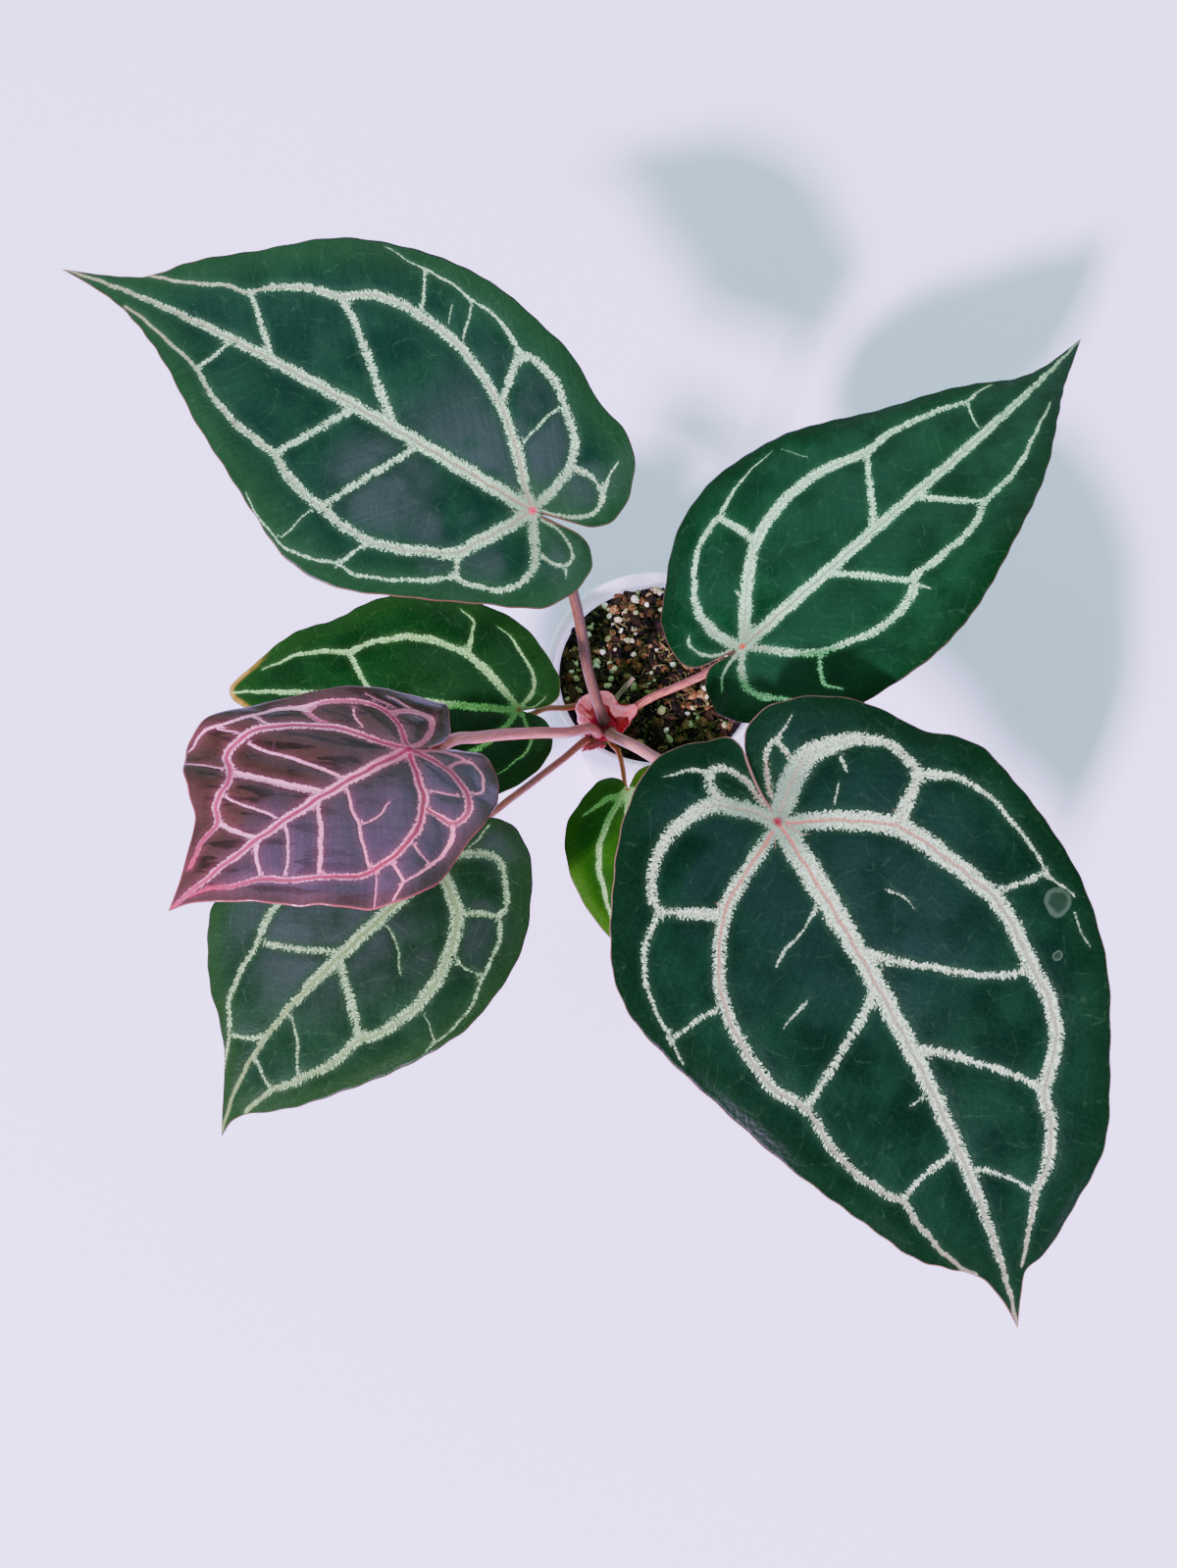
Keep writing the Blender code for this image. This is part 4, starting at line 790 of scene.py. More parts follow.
def blade_piece(leaf_name, leaf, veins, look, materials):
    """A closed blade, computed as a surface of two parameters: the rib, and the share v of the rib.

    The chart point is foot + v (edge - foot). The upper face is the leaf surface, raised between the veins
    by q (1 - exp(-d / QUILT_REACH)) and waved towards the margin by the cube of v. The lower face lies one
    thickness under it, and lower under the veins.
    """
    lobes, ribs, across = FINENESS[leaf_name]
    rows = lobes + ribs
    v = np.linspace(0, 1, across)
    charts, waves, margins = [], [], []
    for sign, side in ((1, "left"), (-1, "right")):
        foot, edge, share = half_ribs(leaf, side, lobes, ribs)
        start = np.column_stack([foot, np.zeros(rows)])
        chart = start[:, None] + v[None, :, None] * (edge - start)[:, None]
        size = np.minimum(1, np.linalg.norm(edge - start, axis=1) / LONG_RIB)
        wave = np.sin(2 * math.pi * leaf["waves"] * share + (1 + sign)) * leaf["wave"]
        charts.append(chart)
        waves.append((size * wave)[:, None] * v**3)
        line = even(edge, EDGE_POINTS).astype(np.float32)
        margins.append(margin_distance(chart.reshape(-1, 2), line).reshape(rows, across))
    ids = np.empty((2, rows, across), int)
    ids[:, :lobes, 0] = 0
    ids[:, lobes:, 0] = 1 + np.arange(ribs)
    ids[:, :-1, 1:] = 1 + ribs + np.arange(2 * (rows - 1) * (across - 1)).reshape(2, rows - 1, across - 1)
    ids[:, -1, :] = ribs
    count = 1 + ribs + 2 * (rows - 1) * (across - 1)
    chart, wave, margin = np.zeros((count, 2)), np.zeros(count), np.zeros(count)
    chart[ids], wave[ids], margin[ids] = np.array(charts), np.array(waves), np.array(margins)
    field = vein_field(chart, vein_spots(veins, look["grow"]))
    settings = bpy.context.scene.anthurium_blades
    s, w = chart.T
    quilt = settings.quilt / MM * ease(margin, 0, 6)
    quilt = quilt * (1 - np.exp(-np.clip(field["beyond"], 0, None) / QUILT_REACH))
    joint_rise = 0.5 * np.exp(-(s * s + w * w) / 9.0)
    normal = surface_normal(leaf, s, w)
    top = leaf_surface(leaf, s, w) + normal * ((quilt + wave + joint_rise) * MM)[:, None]
    keel = np.minimum(0.9, 0.64 * field["half"])
    keel = keel * np.exp(-(field["offset"] / (0.6 * field["half"] + 0.35)) ** 2)
    keel = np.maximum(keel * ease(margin, 0, 3), CAD_KEEL * (1 - np.clip(s, 0, None) / leaf["length"])
                      * np.exp(-(w / 1.6) ** 2) * (s >= -1))
    seat = np.exp(-(s * s + w * w) / 14.0)
    thickness = settings.thickness / MM * (1 - seat) + CAD_THICKNESS * seat + np.maximum(keel, CAD_KEEL * seat)
    under = top - normal * (thickness * MM)[:, None]
    corners = [np.stack([grid[:-1, :-1], grid[:-1, 1:], grid[1:, 1:], grid[1:, :-1]], axis=-1).reshape(-1, 4)
               for grid in ids]
    quads, thirds = unpinched(np.vstack([corners[0][:, ::-1], corners[1]]))
    loop = np.concatenate([ids[1, 0, :], ids[1, 1:, -1], ids[0, -2::-1, -1], ids[0, 0, -2:0:-1]])
    faces = [quads, rim_faces(loop, count), quads[:, ::-1] + count, thirds, thirds[:, ::-1] + count]
    indices = np.concatenate([np.full(len(f), k, np.int32) for f, k in zip(faces, (0, 0, 1, 0, 1))])
    values = {key: np.tile(array, 2) for key, array in field.items()}
    values["margin"] = np.tile(margin, 2)
    return piece(f"leaf_{leaf_name}", np.vstack([top, under]), faces, materials, 0, np.tile(chart, (2, 1)),
                 values, indices)


def band_cover(g, look, past, away, half, fibre, grain, patch):
    """How far the pale band covers a place: fibres and grains eat into it from its edge."""
    depth = (half * 0.42).lowest(1.0) * (look["feather"] * bpy.context.scene.anthurium_blades.feather)
    bare = (g.step(fibre * 0.65 + grain * 0.35, 0.38, 0.62, 1.15, 0.0) + (patch - 0.44)) * depth
    cover = g.step(past + bare, -look["soft"], look["soft"] * 0.5, 1.0, 0.0)
    dense = g.step(away / half, 0.15, 1.10, 0.42, -0.04)
    return cover * g.step(grain + dense, 0.54, 0.68)


def painted_sheen_share(g, look, chart, radius, beyond, clouds, mist):
    """Patches of painted sheen: round the joint, where the mist is thick, and in one round patch."""
    s, w, size = look["patch"]
    misty = g.step(mist, 0.44, 0.56) * g.step(radius, look["mist"] * 0.4, look["mist"], 0.75, 0.05)
    # One round patch of painted sheen, broken up by the clouds.
    sheen_spot = g.step(g.distance(chart, (s, w, 0.0)), size * 0.4, size, 0.8, 0.0)
    sheen_spot = sheen_spot * g.step(clouds, 0.36, 0.56, 0.45, 1.0)
    return misty.highest(sheen_spot) * g.step(beyond, -0.5, 3.0, 0.35, 1.0)


def blade_face(leaf_name, look):
    """The upper face: dark velvety tissue, feathered pale bands on the veins, and their thin middle lines."""
    pink = leaf_name == "new_pink"
    gloss = dict(Coat_Weight=0.10, Coat_Roughness=0.12) if pink else {}
    g = Graph(f"{leaf_name}_face", Specular_IOR_Level=look["sheen"], **gloss)
    offset, half, beyond, along, core, strength, margin = map(g.value, (*FIELD, "margin"))
    chart = g.chart()
    down, across, _ = g.parts(chart)
    radius = g.distance(chart, (0.0, 0.0, 0.0))
    away = abs(offset)
    past = (away - half).highest(beyond - 0.6)
    # Fibres slant outwards and forwards on both sides of each vein, and are shorter on a narrow one.
    fibre = g.noise(g.join((along - away * 0.5) * 1.7, away * 0.42, offset * 0.02), 1.0, 3.0, 0.72)
    patch, grain = g.noise(chart, PATCHES, 3.0, 0.6), g.noise(chart, GRAIN, 3.0, 0.80)
    clouds, mist = g.noise(chart, CLOUDS, 3.0, 0.55), g.noise(chart, MIST, 2.0, 0.5)
    band = band_cover(g, look, past, away, half, fibre, grain, patch) * strength
    # Tissue: deep and lighter clouds, patches of painted sheen, and another green along the margin.
    tissue = g.mix(g.step(clouds, 0.36, 0.66), look["dark"], look["light"])
    if pink:
        # One half is violet, a painted reflection, the other brown; black streaks at an angle to the midrib are
        # painted dark reflections.
        sheen_slate = g.step(across + mist * 40.0, 8.0, 36.0)
        level, rise = down * -0.74 + across * 0.67, down * 0.67 + across * 0.74
        reflection_streaks = g.noise(g.join(level * 0.055, rise * 0.26), 1.0, 2.5, 0.55)
        brown = (1.0 - sheen_slate).highest(g.step(down, 36.0, 66.0, 0.15, 0.6))
        tissue = g.mix(sheen_slate, tissue, look["sheen_slate"])
        # Dark streaks of painted reflection on the brown half.
        tissue = g.mix(g.step(reflection_streaks, 0.52, 0.58) * brown * 0.92, tissue, scaled(look["dark"], 0.25))
    else:
        # Patches of painted sheen over the tissue.
        tissue = g.mix(painted_sheen_share(g, look, chart, radius, beyond, clouds, mist), tissue, look["sheen_slate"])
    tissue = g.mix(g.step(margin, 1.0, look["zone"], 1.0, 0.0) * 0.75, tissue, look["rim"])
    tissue = g.mix(g.step(grain, 0.40, 0.75, 0.30, 0.0), tissue, scaled(look["dark"], 0.45))
    warp = g.add("ShaderNodeVectorMath", {0: chart, 1: g.join(clouds * 9.0, patch * 3.0)}, operation="ADD")
    net, fine_net = g.net(warp, NET), g.net(warp, FINE_NET)
    threads = g.step(net, 0.0, 0.030, 1.0, 0.0) * g.step(patch, 0.42, 0.66)
    tissue = g.mix(threads * 0.30, tissue, look["net"])
    tissue = g.mix(g.step(fine_net, 0.0, 0.12, 0.06, 0.0), tissue, look["net"])
    # A faint brighter halo hugs each band.
    width, share = look["halo"]
    halo = g.step(past, -0.5, width, 1.0, 0.0) * strength
    tissue = g.mix(halo * share, tissue, look["haze"])
    # Painted shade: faint darker stripes stand for the shade in fine pleats, which run outwards and forwards
    # from the midrib.
    pleat_shade = g.noise(g.join((down - abs(across) * 0.75) * 0.55, across * 0.03), 1.0, 3.0, 0.6)
    tissue = g.mix(g.step(pleat_shade, 0.42, 0.62, 0.11, 0.0), tissue, scaled(look["dark"], 0.3))
    # Bands: pale grains, darker between them, and hazy round the joint and on the lobes.
    gaps = (0.32, 0.50) if pink else (0.42, 0.57)
    between = tuple(0.22 * b + 0.60 * t for b, t in zip(look["band"], look["light"]))
    silver = g.mix(g.step(grain * 0.7 + fibre * 0.3, *gaps), between, look["band"])
    if pink:
        silver = g.mix(g.step(level, -45.0, 0.0, 0.6, 0.0), silver, LOWER_PINK)
    hazy = g.step(down, 4.0, -7.0) * g.step(radius, 14.0, 34.0, 0.85, 0.0)
    hazy = hazy.highest(g.step(radius, 4.0, 24.0, 0.85, 0.0))
    colour = g.mix(band, tissue, g.mix(hazy, silver, look["haze"]))
    # The middle line of the main veins, coloured near the joint, and the spot where they meet.
    middle = g.step(away, look["thread"] * 0.35, look["thread"], 1.0, 0.0) * g.step(beyond, -0.2, 0.9, 1.0, 0.0)
    tint = g.mix(g.step(radius, look["reach"] * 0.3, look["reach"]), look["core"], look["core_far"])
    fade = g.step(core, 0.0, 1.0, 0.0, 0.90 if pink else 0.75)
    near = g.step(radius, 14.0, 40.0, 0.25, 0.0) * g.step(half, 0.9, 1.6)
    colour = g.mix(middle * fade.highest(near), colour, tint)
    spot = radius + fibre * 1.6
    colour = g.mix(g.step(spot, look["knot"] * 0.45, look["knot"], 0.88, 0.0), colour, look["spot"])
    if "tip" in look:
        dry = g.step(down, 114.0, 132.0) * g.step(margin, 0.4, 3.6, 1.0, 0.0)
        colour = g.mix(dry * g.step(patch, 0.36, 0.6, 0.5, 1.0), colour, look["tip"])
    for s, w, size in look.get("marks", ()):
        # A clear blister: a pale ring with a slightly lighter middle. The warp moves it by about MARK_SHIFT.
        out = g.distance(warp, (s + MARK_SHIFT[0], w + MARK_SHIFT[1], 0.0))
        ring = g.step(out, size * 0.62, size * 0.90, 0.25, 0.9) * g.step(out, size, size * 1.18, 1.0, 0.0)
        colour = g.mix(ring, colour, scaled(look["haze"], 0.4))
    colour = g.mix(g.step(margin, 0.22, 0.58, look["edging"], 0.0), colour, look["line"])
    rough = g.step(band, 0.0, 1.0, *((0.22, 0.32) if pink else (0.38, 0.55)))
    return g.finish(colour, rough, [
        (g.step(fine_net, 0.0, 0.30), 0.20, 0.00022), (grain, 0.14, 0.00018),
        (band * fibre, 0.25, 0.0002), (middle * -1.0, 0.45, 0.0003)])


def blade_underside(leaf_name, look):
    """The lower face: paler and duller, with the veins lighter."""
    g = Graph(f"{leaf_name}_underside", 0.62, Specular_IOR_Level=0.12)
    past = (abs(g.value("offset")) - g.value("half") * 0.45).highest(g.value("beyond") - 0.6)
    chart = g.chart()
    patch, net = g.noise(chart, 0.06, 3.0), g.net(chart, 0.40)
    under = look["under"]
    colour = g.mix(patch, scaled(under, 0.72), scaled(under, 1.25))
    colour = g.mix(g.step(net, 0.0, 0.12, 0.25, 0.0), colour, scaled(under, 1.7))
    colour = g.mix(g.step(past, -0.2, 0.5, 0.75, 0.0), colour, scaled(under, 1.2, 0.07))
    colour = g.mix(g.step(g.value("margin"), 0.30, 0.7, 0.8, 0.0), colour, look["line"])
    return g.finish(colour, None, [(g.step(net, 0.0, 0.25), 0.3, 0.0003), (patch, 0.2, 0.0008)])


# ---- petioles and crown ----
STEM_AXIS = unit(np.subtract(STEM_TOP, STEM_FOOT))
STEM_EAST = unit(np.cross((0, 1, 0), STEM_AXIS))
STEM_NORTH = np.cross(STEM_AXIS, STEM_EAST)
# Stalks, in metres: the ring of feet on the stem's top, the straight start, how far both ends go inside, and
# how far the knee's two points lie below the blade and back from the joint.
TOP_RING, STALK_START, FOOT_SUNK, HEAD_SUNK = 0.0036, 0.0022, 0.0016, 0.0011
KNEE = ((0.0115, 0.0085), (0.0060, 0.0022))


def outward(bearing):
    """The direction away from the stem's axis at a bearing in degrees; an array gives one row each."""
    angle = np.radians(np.asarray(bearing, float))[..., None]
    return np.cos(angle) * STEM_EAST + np.sin(angle) * STEM_NORTH


def stem_point(axis_height, bearing, radius):
    """A point beside the stem: the height where its axis is met, in mm, then a bearing and a radius."""
    share = (axis_height * MM - STEM_FOOT[2]) / (STEM_TOP[2] - STEM_FOOT[2])
    return np.add(STEM_FOOT, share * np.subtract(STEM_TOP, STEM_FOOT)) + radius * outward(bearing)


def tube(line, radii, sides, groove, ends):
    """A circle carried along a path: point = centre + r (cos a side + sin a up), less a groove on top.

    r shrinks by groove times the fourth power of sin a where a is on the upper side. Returns the points,
    quads, end caps and, for each point, its place along and across the tube in millimetres.
    """
    ahead = unit(np.gradient(line, axis=0))
    ahead[0], ahead[-1] = unit(ends[0]), unit(ends[1])
    span = line[-1] - line[0]
    level = np.cross((0.0, 0.0, 1.0), span + np.array([1e-5, 0, 0]))
    side = unit(unit(level) - ahead * (ahead @ unit(level))[:, None])
    up = np.cross(ahead, side)
    angle = np.linspace(0, 2 * math.pi, sides, endpoint=False)
    reach = radii[:, None] * (1 - groove * np.clip(np.sin(angle), 0, None) ** 4)
    ring = np.cos(angle)[:, None] * side[:, None] + np.sin(angle)[:, None] * up[:, None]
    points = line[:, None] + reach[..., None] * ring
    caps = np.stack([np.arange(sides)[::-1], (len(line) - 1) * sides + np.arange(sides)])
    along = np.repeat(lengths(line) / MM, sides)
    values = dict(along=along, across=(reach * np.cos(angle)).reshape(-1) / MM,
                  above=(reach * np.sin(angle)).reshape(-1) / MM)
    return points.reshape(-1, 3), [grid_faces(len(line), sides, closed=True), caps], values


def petiole_line(spec, leaf):
    """The middle line of a petiole from inside the stem to inside its blade, and its end directions."""
    if spec.get("top"):
        first, leave = np.array(STEM_TOP) + TOP_RING * outward(spec["bearing"]) + GAP * STEM_AXIS, STEM_AXIS
    else:
        leave = outward(spec["bearing"])
        first = stem_point(spec["axis_height"], spec["bearing"], STEM_RADIUS + GAP)
    normal = surface_normal(leaf, np.zeros(1), np.zeros(1))[0]
    seat = np.array(leaf["joint"]) - normal * (CAD_THICKNESS + CAD_KEEL) * MM
    through = [np.array(p) * MM for p in spec["through"]]
    end = seat - GAP * normal
    back = through[-1] - end
    back = unit(back - normal * np.dot(back, normal))
    knee = [end - below * normal + behind * back for below, behind in KNEE]
    line = smooth_path([first, first + STALK_START * leave] + through + knee + [end], 15)
    line = np.vstack([first - FOOT_SUNK * leave, line, end + HEAD_SUNK * normal])
    return line, (leave, normal)


def stalk_skin(name, base, dark, fleck, tip):
    """Petiole skin: fine pale flecks on a streaked ground, darker along the groove, warmer at the blade."""
    g = Graph(name, 0.46, Specular_IOR_Level=0.18)
    along, across, above = map(g.value, ("along", "across", "above"))
    streak = g.noise(g.join(along * 0.10, across, above), 1.5, 3.0, 0.6)
    flecks = g.noise(g.join(along * 0.6, across, above), 2.6, 2.0, 0.6)
    colour = g.mix(g.step(streak, 0.34, 0.68), dark, base)
    colour = g.mix(g.step(flecks, 0.50, 0.64, 0.0, 0.65), colour, fleck)
    colour = g.mix(g.step(flecks, 0.34, 0.46, 0.45, 0.0), colour, dark)
    trough = g.step(abs(across), 0.15, 1.0, 1.0, 0.0) * g.step(above, 0.3, 1.1)
    colour = g.mix(trough * 0.75, colour, dark)
    colour = g.mix(g.step(g.value("ending"), 0.0, 9.0, 0.65, 0.0), colour, tip)
    return g.finish(colour, g.step(flecks, 0.4, 0.7, 0.34, 0.52), [
        (flecks, 0.22, 0.0002), (streak, 0.20, 0.0004)])


# Colours of each stalk: its ground, its dark streaks, its flecks, and its end below the blade.
STALKS = {
    "front_right": ((0.31, 0.12, 0.075), (0.17, 0.055, 0.04), (0.53, 0.26, 0.16), (0.17, 0.026, 0.022)),
    "back_left": ((0.08, 0.034, 0.014), (0.045, 0.015, 0.007), (0.15, 0.08, 0.034), (0.2, 0.036, 0.024)),
    "new_pink": ((0.45, 0.108, 0.086), (0.245, 0.047, 0.044), (0.76, 0.245, 0.18), (0.23, 0.012, 0.034)),
    "back_right": ((0.28, 0.082, 0.044), (0.085, 0.018, 0.01), (0.3, 0.125, 0.07), (0.24, 0.045, 0.022)),
    "front_left": ((0.36, 0.096, 0.058), (0.195, 0.042, 0.029), (0.63, 0.225, 0.125), (0.17, 0.045, 0.026)),
    "mid_left": ((0.33, 0.122, 0.042), (0.172, 0.05, 0.018), (0.43, 0.21, 0.08), (0.18, 0.055, 0.01)),
    "small_front": ((0.4, 0.15, 0.045), (0.25, 0.08, 0.022), (0.6, 0.3, 0.11), (0.16, 0.08, 0.013)),
}


def shell(inner, outer):
    """A closed shell between two grids of points of the same shape: both faces and the four rims."""
    rows, columns = inner.shape[:2]
    count = rows * columns
    faces = grid_faces(rows, columns)
    ids = np.arange(count).reshape(rows, columns)
    loop = np.concatenate([ids[0, :], ids[1:, -1], ids[-1, -2::-1], ids[-2:0:-1, 0]])
    both = np.vstack([inner.reshape(-1, 3), outer.reshape(-1, 3)])
    return both, [faces, rim_faces(loop, count), faces[:, ::-1] + count]


def sheath(spec, ragged, seed):
    """The clasping foot of a stalk, u round the stem and v from its foot over its bulge to its free margin.

    Round the stem the bulge and the margin run smoothly through the table's rows. In v the radius and height
    are the parabola through foot, bulge and margin. Folds are sine waves across it that grow upwards, and the
    margin is torn by ragged noise.
    """
    rng = np.random.default_rng(seed)
    foot, rows = spec
    line = even(smooth_path(rows, 12), SHEATH_GRID[0])
    bearing, bulge, low, margin, high = (line[:, k, None] for k in range(5))
    u, v = np.linspace(0, 1, len(line))[:, None], np.linspace(0, 1, SHEATH_GRID[1])[None]
    deep, phase = ragged * rng.uniform(0.3, 1, len(TEARS)), rng.uniform(0, 6, len(TEARS))
    torn = sum(a * np.sin(k * u + p) for a, k, p in zip(deep, TEARS, phase))
    run = v * (1 + torn * v)
    at_foot, at_bulge, at_margin = 2 * (run - 0.5) * (run - 1), 4 * run * (1 - run), 2 * run * (run - 0.5)
    place = foot * at_foot + low * at_bulge + high * at_margin
    fold = 0.20 * np.sin(23 * u + 2 * v) + 0.12 * np.sin(51 * u - 3 * v) + 0.08 * np.sin(89 * u + 5 * v)
    radius = SHEATH_RADIUS * at_foot + bulge * at_bulge + margin * at_margin + fold * v
    away = outward(bearing * np.ones_like(v))
    inner = np.array(STEM_TOP) + (place * MM)[..., None] * STEM_AXIS + (radius * MM)[..., None] * away
    ahead, across = np.gradient(inner, axis=1), np.gradient(inner, axis=0)
    normal = unit(np.cross(across, ahead))
    normal = normal * np.sign((normal[:, :8] * away[:, :8]).sum())
    outer = inner + normal * ((0.70 - 0.40 * v**3) * MM)[..., None]
    points, faces = shell(inner, outer)
    up, about = (np.tile(np.broadcast_to(k, radius.shape).reshape(-1), 2) for k in (v, u))
    values = dict(up=up, round=about, outside=np.repeat([0.0, 1.0], radius.size))
    return points, faces, values


def stem_mesh():
    """The stem: a tube along its axis whose girth runs through the table, with fine rings of sine waves."""
    heights = np.linspace(STEM_GIRTH[0][0], STEM_GIRTH[-1][0], 90)
    girth = np.interp(heights, *zip(*STEM_GIRTH))
    girth = girth + 0.022 * np.sin(heights * 2.6) + 0.012 * np.sin(heights * 7.1)
    line = np.array([stem_point(h, 0, 0.0) for h in heights])
    return tube(line, STEM_RADIUS * girth, 40, 0.0, (STEM_AXIS, STEM_AXIS))


def old_stalk_mesh():
    """The old stalk's stub: a tube that narrows outwards, wrinkled by two sine waves in its radius."""
    height, bearing, through = OLD_STALK
    leave = outward(bearing)
    first = stem_point(height, bearing, STEM_RADIUS + GAP)
    line = smooth_path([first - 0.001 * leave, first + 0.002 * leave, *through], 14)
    along = np.linspace(0, 1, len(line))
    radii = (1.5 - 0.3 * along + 0.12 * np.sin(along * 31) + 0.08 * np.sin(along * 77)) * MM
    return tube(line, radii, 18, 0.25, (leave, line[-1] - line[-2]))


def sheath_skin(name, look):
    """Waxy coral tissue, or papery pink on the dry scale, with fine ridges and a pale free margin."""
    papery = name == "sheath_front"
    gloss = {} if papery else dict(Coat_Weight=0.5, Coat_Roughness=0.12)
    g = Graph(f"{name}_skin", 0.60 if papery else 0.24, Specular_IOR_Level=0.25, Subsurface_Weight=0.12,
              Subsurface_Scale=0.002, **gloss)
    outside, inside = (look.papery, look.papery) if papery else (look.coral, look.inside)
    up = g.value("up")
    blotch = g.noise(g.place(), 0.45, 3.0, 0.6)
    ridges = g.noise(g.join(g.value("round") * 60.0, up), 1.6, 2.0)
    pale = scaled(outside, 1.25, 0.05)
    colour = g.mix(g.step(blotch, 0.3, 0.7), scaled(outside, 0.72), pale)
    colour = g.mix(g.step(ridges, 0.45, 0.7, 0.0, 0.35), colour, look.inside)
    colour = g.mix(g.step(g.value("outside"), 0.2, 0.6, 0.85, 0.0), colour, inside)
    colour = g.mix(g.step(up, 0.90, 1.0, 0.0, 0.55), colour, pale)
    return g.finish(colour, None, [(ridges, 0.35, 0.0004), (blotch, 0.3, 0.0006)])


# ---- soil ----
# Colours of the rind, the dry stalk and the loose matter, in linear light, from dark to pale.
RIND = ((0.34, 0.011, 0.034), (0.7, 0.026, 0.072), (0.95, 0.085, 0.125))
DRY_STALK = ((0.11, 0.09, 0.048), (0.21, 0.175, 0.1), (0.33, 0.28, 0.18))
BARK_MIX = ((0.0026, 0.002, 0.001), (0.009, 0.0065, 0.0025), (0.026, 0.017, 0.005), (0.034, 0.032, 0.007))
BARK = ((0.0024, 0.0016, 0.0009), (0.009, 0.005, 0.0024), (0.026, 0.0135, 0.005), (0.056, 0.032, 0.009),
        (0.15, 0.052, 0.014), (0.26, 0.19, 0.065))
GRIT = ((0.003, 0.0021, 0.001), (0.011, 0.008, 0.003), (0.034, 0.024, 0.008), (0.075, 0.068, 0.016),
        (0.19, 0.18, 0.055), (0.42, 0.43, 0.19))
PERLITE = ((0.3, 0.3, 0.11), (0.52, 0.54, 0.26), (0.95, 0.95, 0.72))
MOSS = ((0.028, 0.036, 0.006), (0.085, 0.095, 0.018), (0.2, 0.19, 0.055))
# In metres: the mix's radius at its widest and where its top begins, the mound's radius, how far out its lumps,
# grains and fibres lie, how far from the stem a grain stays, and the lumps' radii and height.
MIX_RADIUS, TOP_RADIUS, MOUND_RADIUS = 0.0492, 0.0484, 0.049
LUMP_REACH, GRAIN_REACH, FIBRE_REACH, FIBRE_LIMIT, STEM_CLEAR = 0.048, 0.0475, 0.045, 0.0478, 0.0085
LUMPS, LUMP_SIZES, LUMP_HEIGHT = 420, (0.0018, 0.0058), 0.0019
MIX_SEGMENTS, MIX_RINGS = 220, 84


def heap(x, y):
    """Height of the heaped mix: a low mound, round lumps like upturned bowls, and fine waves."""
    height = SOIL_EDGE + SOIL_MOUND * (1 - (np.hypot(x, y) / MOUND_RADIUS) ** 2)
    draw = np.random.default_rng(7)
    angle, out = draw.uniform(0, 2 * math.pi, LUMPS), LUMP_REACH * np.sqrt(draw.uniform(0, 1, LUMPS))
    size, tall = draw.uniform(*LUMP_SIZES, LUMPS), draw.uniform(0.3, 1, LUMPS) * LUMP_HEIGHT
    flat_x, flat_y = np.ravel(x)[:, None], np.ravel(y)[:, None]
    near = np.hypot(flat_x - out * np.cos(angle), flat_y - out * np.sin(angle)) / size
    lumps = (tall * np.clip(1 - near**2, 0, None)).max(axis=1).reshape(np.shape(x))
    waves = 0.00022 * (np.sin(1900 * x + 3 * np.sin(700 * y)) * np.sin(1700 * y + 2 * np.sin(900 * x)))
    return height + lumps + waves


def mix_mesh():
    """The mix: a profile just inside the pot, turned about +Z, with the heap's height on its top."""
    low = POT_FLOOR + GAP
    profile = [(0.0, low), (POT_BASE - POT_WALL - 2 * GAP, low), (POT_SIDE_TOP - POT_WALL - GAP, POT_STEP),
               (MIX_RADIUS, SOIL_EDGE - 0.0008)]
    start = len(profile) * MIX_SEGMENTS
    profile += [(r, SOIL_EDGE) for r in np.linspace(TOP_RADIUS, 0.0, MIX_RINGS)]
    points, faces = lathe(profile, MIX_SEGMENTS)
    points[start:, 2] = heap(points[start:, 0], points[start:, 1])
    return weld([(points, faces)])


def ball(level):
    """Points and triangles of an icosahedron, or, for level 1, of an octahedron with each face cut in four."""
    if level:
        points = np.vstack([np.eye(3), -np.eye(3)])
    else:
        t = (1 + 5**0.5) / 2
        points = unit([(-1, t, 0), (1, t, 0), (-1, -t, 0), (1, -t, 0), (0, -1, t), (0, 1, t), (0, -1, -t),
                       (0, 1, -t), (t, 0, -1), (t, 0, 1), (-t, 0, -1), (-t, 0, 1)])
    gap = np.linalg.norm(points[:, None] - points[None], axis=-1)
    near = gap < 1.1 * gap[gap > 0.1].min()
    i, j, k = np.meshgrid(*[np.arange(len(points))] * 3, indexing="ij")
    pick = (i < j) & (j < k) & near[i, j] & near[j, k] & near[i, k]
    faces = np.stack([i[pick], j[pick], k[pick]], axis=-1)
    if level:
        a, b, c = (points[faces[:, n]] for n in range(3))
        mids = [unit(p + q) for p, q in ((a, b), (b, c), (c, a))]
        corners = np.stack([a, mids[0], mids[2], mids[0], b, mids[1], mids[2], mids[1], c, *mids], axis=1)
        points, index = np.unique(np.round(corners.reshape(-1, 3), 6), axis=0, return_inverse=True)
        faces = index.reshape(-1, 3)
    a, b, c = (points[faces[:, n]] for n in range(3))
    inward = (np.cross(b - a, c - a) * a).sum(axis=1) < 0
    faces[inward] = faces[inward][:, ::-1]
    return points, faces


